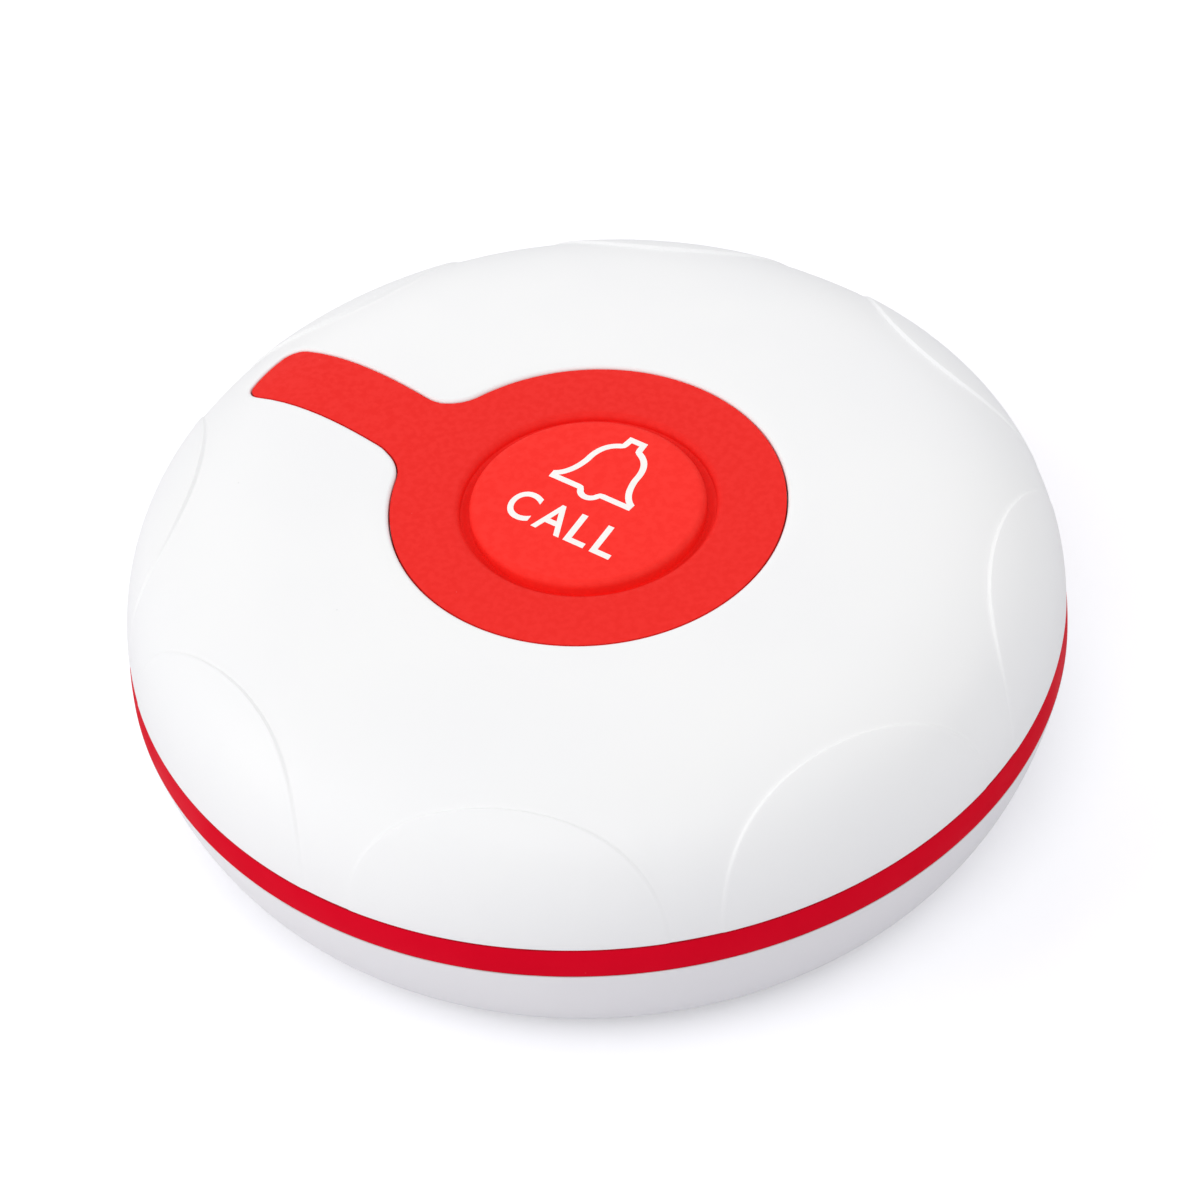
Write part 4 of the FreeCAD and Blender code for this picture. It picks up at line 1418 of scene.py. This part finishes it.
black_plastic = plain_part("black_moulded_plastic", ((0.022, 0.022, 0.024), (0.035, 0.034, 0.034)), 3 * mm,
                           0.12 * mm, 0.008 * mm, (0.42, 0.60),
                           (1.0 * mm, 0.15, 0.06, (0.20, 0.20, 0.20), 0.5))
white_inner = plain_part("white_inner_plastic", ((0.80, 0.80, 0.78), (0.76, 0.76, 0.73)), 5 * mm,
                         0.15 * mm, 0.006 * mm, (0.45, 0.60), (1.4 * mm, 0.12, 0.05, (0.50, 0.50, 0.48), 0.5))
tan_ceramic = plain_part("tan_ceramic", ((0.52, 0.40, 0.27), (0.44, 0.33, 0.22)), 0.8 * mm,
                         0.06 * mm, 0.004 * mm, (0.35, 0.50), (0.3 * mm, 0.25, 0.12, (0.70, 0.60, 0.48), 0.5))
clear_red = plain_part("clear_red_lens", ((0.72, 0.05, 0.04), (0.62, 0.03, 0.03)), 1.5 * mm,
                       0.20 * mm, 0.002 * mm, (0.08, 0.16), (0.9 * mm, 0.10, 0.05, (0.90, 0.30, 0.25), 0.4),
                       {"Transmission Weight": 0.6, "IOR": 1.5})
print("four plain finishes for the parts inside")

# %% [markdown]
# Metals are told apart by their scratches: the cell's can is spun, the contacts and the tin parts
# are rolled sheet, the screws are plated, and the antenna is drawn wire.

# %% Metals inside


def metal_part(name, colours, squeeze, line_size, scratch_depth, roughness, tarnish):
    """A metal with drifting tone, scratches in one direction, and darker tarnish in the scratches."""
    material, tree, shader, colour, bump = start_finish(
        name, colours, 4 * mm, 0.08 * mm, 0.002 * mm, roughness, {"Metallic": 1.0})
    lines = place_group(tree, scratch_group, squeeze=squeeze, line_size=line_size)
    add_bump(tree, shader, bump, (lines, "Height"), scratch_depth)
    lay_over(tree, shader, colour, math_node(tree, "MULTIPLY", (lines, "Mask"), 0.5), tarnish)
    return material


cell_metal = metal_part("cell_can_steel", ((0.72, 0.72, 0.73), (0.66, 0.66, 0.66)), (1, 1, 40), 2 * mm,
                        0.006 * mm, (0.18, 0.30), (0.50, 0.49, 0.47))
contact_metal = metal_part("contact_strip", ((0.80, 0.74, 0.55), (0.72, 0.66, 0.50)), (1, 25, 25), 2 * mm,
                           0.005 * mm, (0.22, 0.36), (0.50, 0.43, 0.30))
tin_metal = metal_part("tinned_metal", ((0.68, 0.68, 0.70), (0.60, 0.60, 0.62)), (25, 1, 25), 2 * mm,
                       0.006 * mm, (0.25, 0.42), (0.44, 0.44, 0.45))
wire_metal = metal_part("antenna_copper", ((0.78, 0.42, 0.22), (0.66, 0.34, 0.18)), (12, 12, 12), 1 * mm,
                        0.005 * mm, (0.25, 0.40), (0.34, 0.18, 0.10))
screw_metal = metal_part("zinc_screw_steel", ((0.60, 0.61, 0.64), (0.52, 0.53, 0.55)), (1, 1, 20), 1 * mm,
                         0.008 * mm, (0.28, 0.45), (0.36, 0.34, 0.30))
print("five metals for the parts inside")

# %% [markdown]
# The board is green solder resist over copper. Where a trace runs under it the resist looks
# lighter and stands a little proud. The traces are a grid of square waves, broken up by noise.

# %% The circuit board
trace_pitch = 2.2 * mm


def square_lines(tree, axis_socket, pitch, width):
    """A mask of even lines across one axis."""
    turns = math_node(tree, "DIVIDE", axis_socket, pitch)
    part = math_node(tree, "FRACT", turns, 0.0)
    return stretched(tree, part, width, width * 0.7)


board_green, tree, shader, colour, bump = start_finish(
    "green_solder_resist", ((0.012, 0.16, 0.055), (0.010, 0.13, 0.045)), 6 * mm, 0.10 * mm, 0.003 * mm,
    (0.22, 0.34), {"Specular IOR Level": 0.5})
axes = object_axes(tree)
across = square_lines(tree, (axes, "X"), trace_pitch, 0.22)
along = square_lines(tree, (axes, "Y"), trace_pitch, 0.22)
broken = stretched(tree, sized_noise(tree, 5 * mm, 0.0), 0.49, 0.51)
other = math_node(tree, "SUBTRACT", 1.0, broken)
traces = math_node(tree, "ADD", math_node(tree, "MULTIPLY", across, broken),
                   math_node(tree, "MULTIPLY", along, other))
lay_over(tree, shader, colour, math_node(tree, "MULTIPLY", traces, 0.75), (0.03, 0.28, 0.09))
add_bump(tree, shader, bump, traces, 0.02 * mm)
print("material:", board_green.name)

# %% [markdown]
# Last, the finishes are given out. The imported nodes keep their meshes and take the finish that
# their material slot names. The new pieces are assigned theirs directly.

# %% Give out the finishes
slot_finishes = {"white_shell": white_base, "red_silicone": red_pad, "red_band": band_red,
                 "white_part": white_inner, "grey_foot": foot_grey, "black_part": black_plastic,
                 "cell_steel": cell_metal, "contact_metal": contact_metal, "board_green": board_green,
                 "tin_metal": tin_metal, "antenna_wire": wire_metal, "lamp_red": clear_red,
                 "ceramic": tan_ceramic, "screw_steel": screw_metal}
dressed = 0
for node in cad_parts.values():
    for slot in node.material_slots:
        slot.material = slot_finishes[slot.material.name.split(".")[0]]
        dressed += 1
new_pieces = ((cover, white_top), (shell, white_base), (lid, white_base), (pad, red_pad), (web, red_pad),
              (button, red_disc), (ink, ink_white), (band, band_red), (foot, foot_grey))
for piece, finish in new_pieces:
    piece.data.materials.clear()
    piece.data.materials.append(finish)
print("packed slots dressed:", dressed)
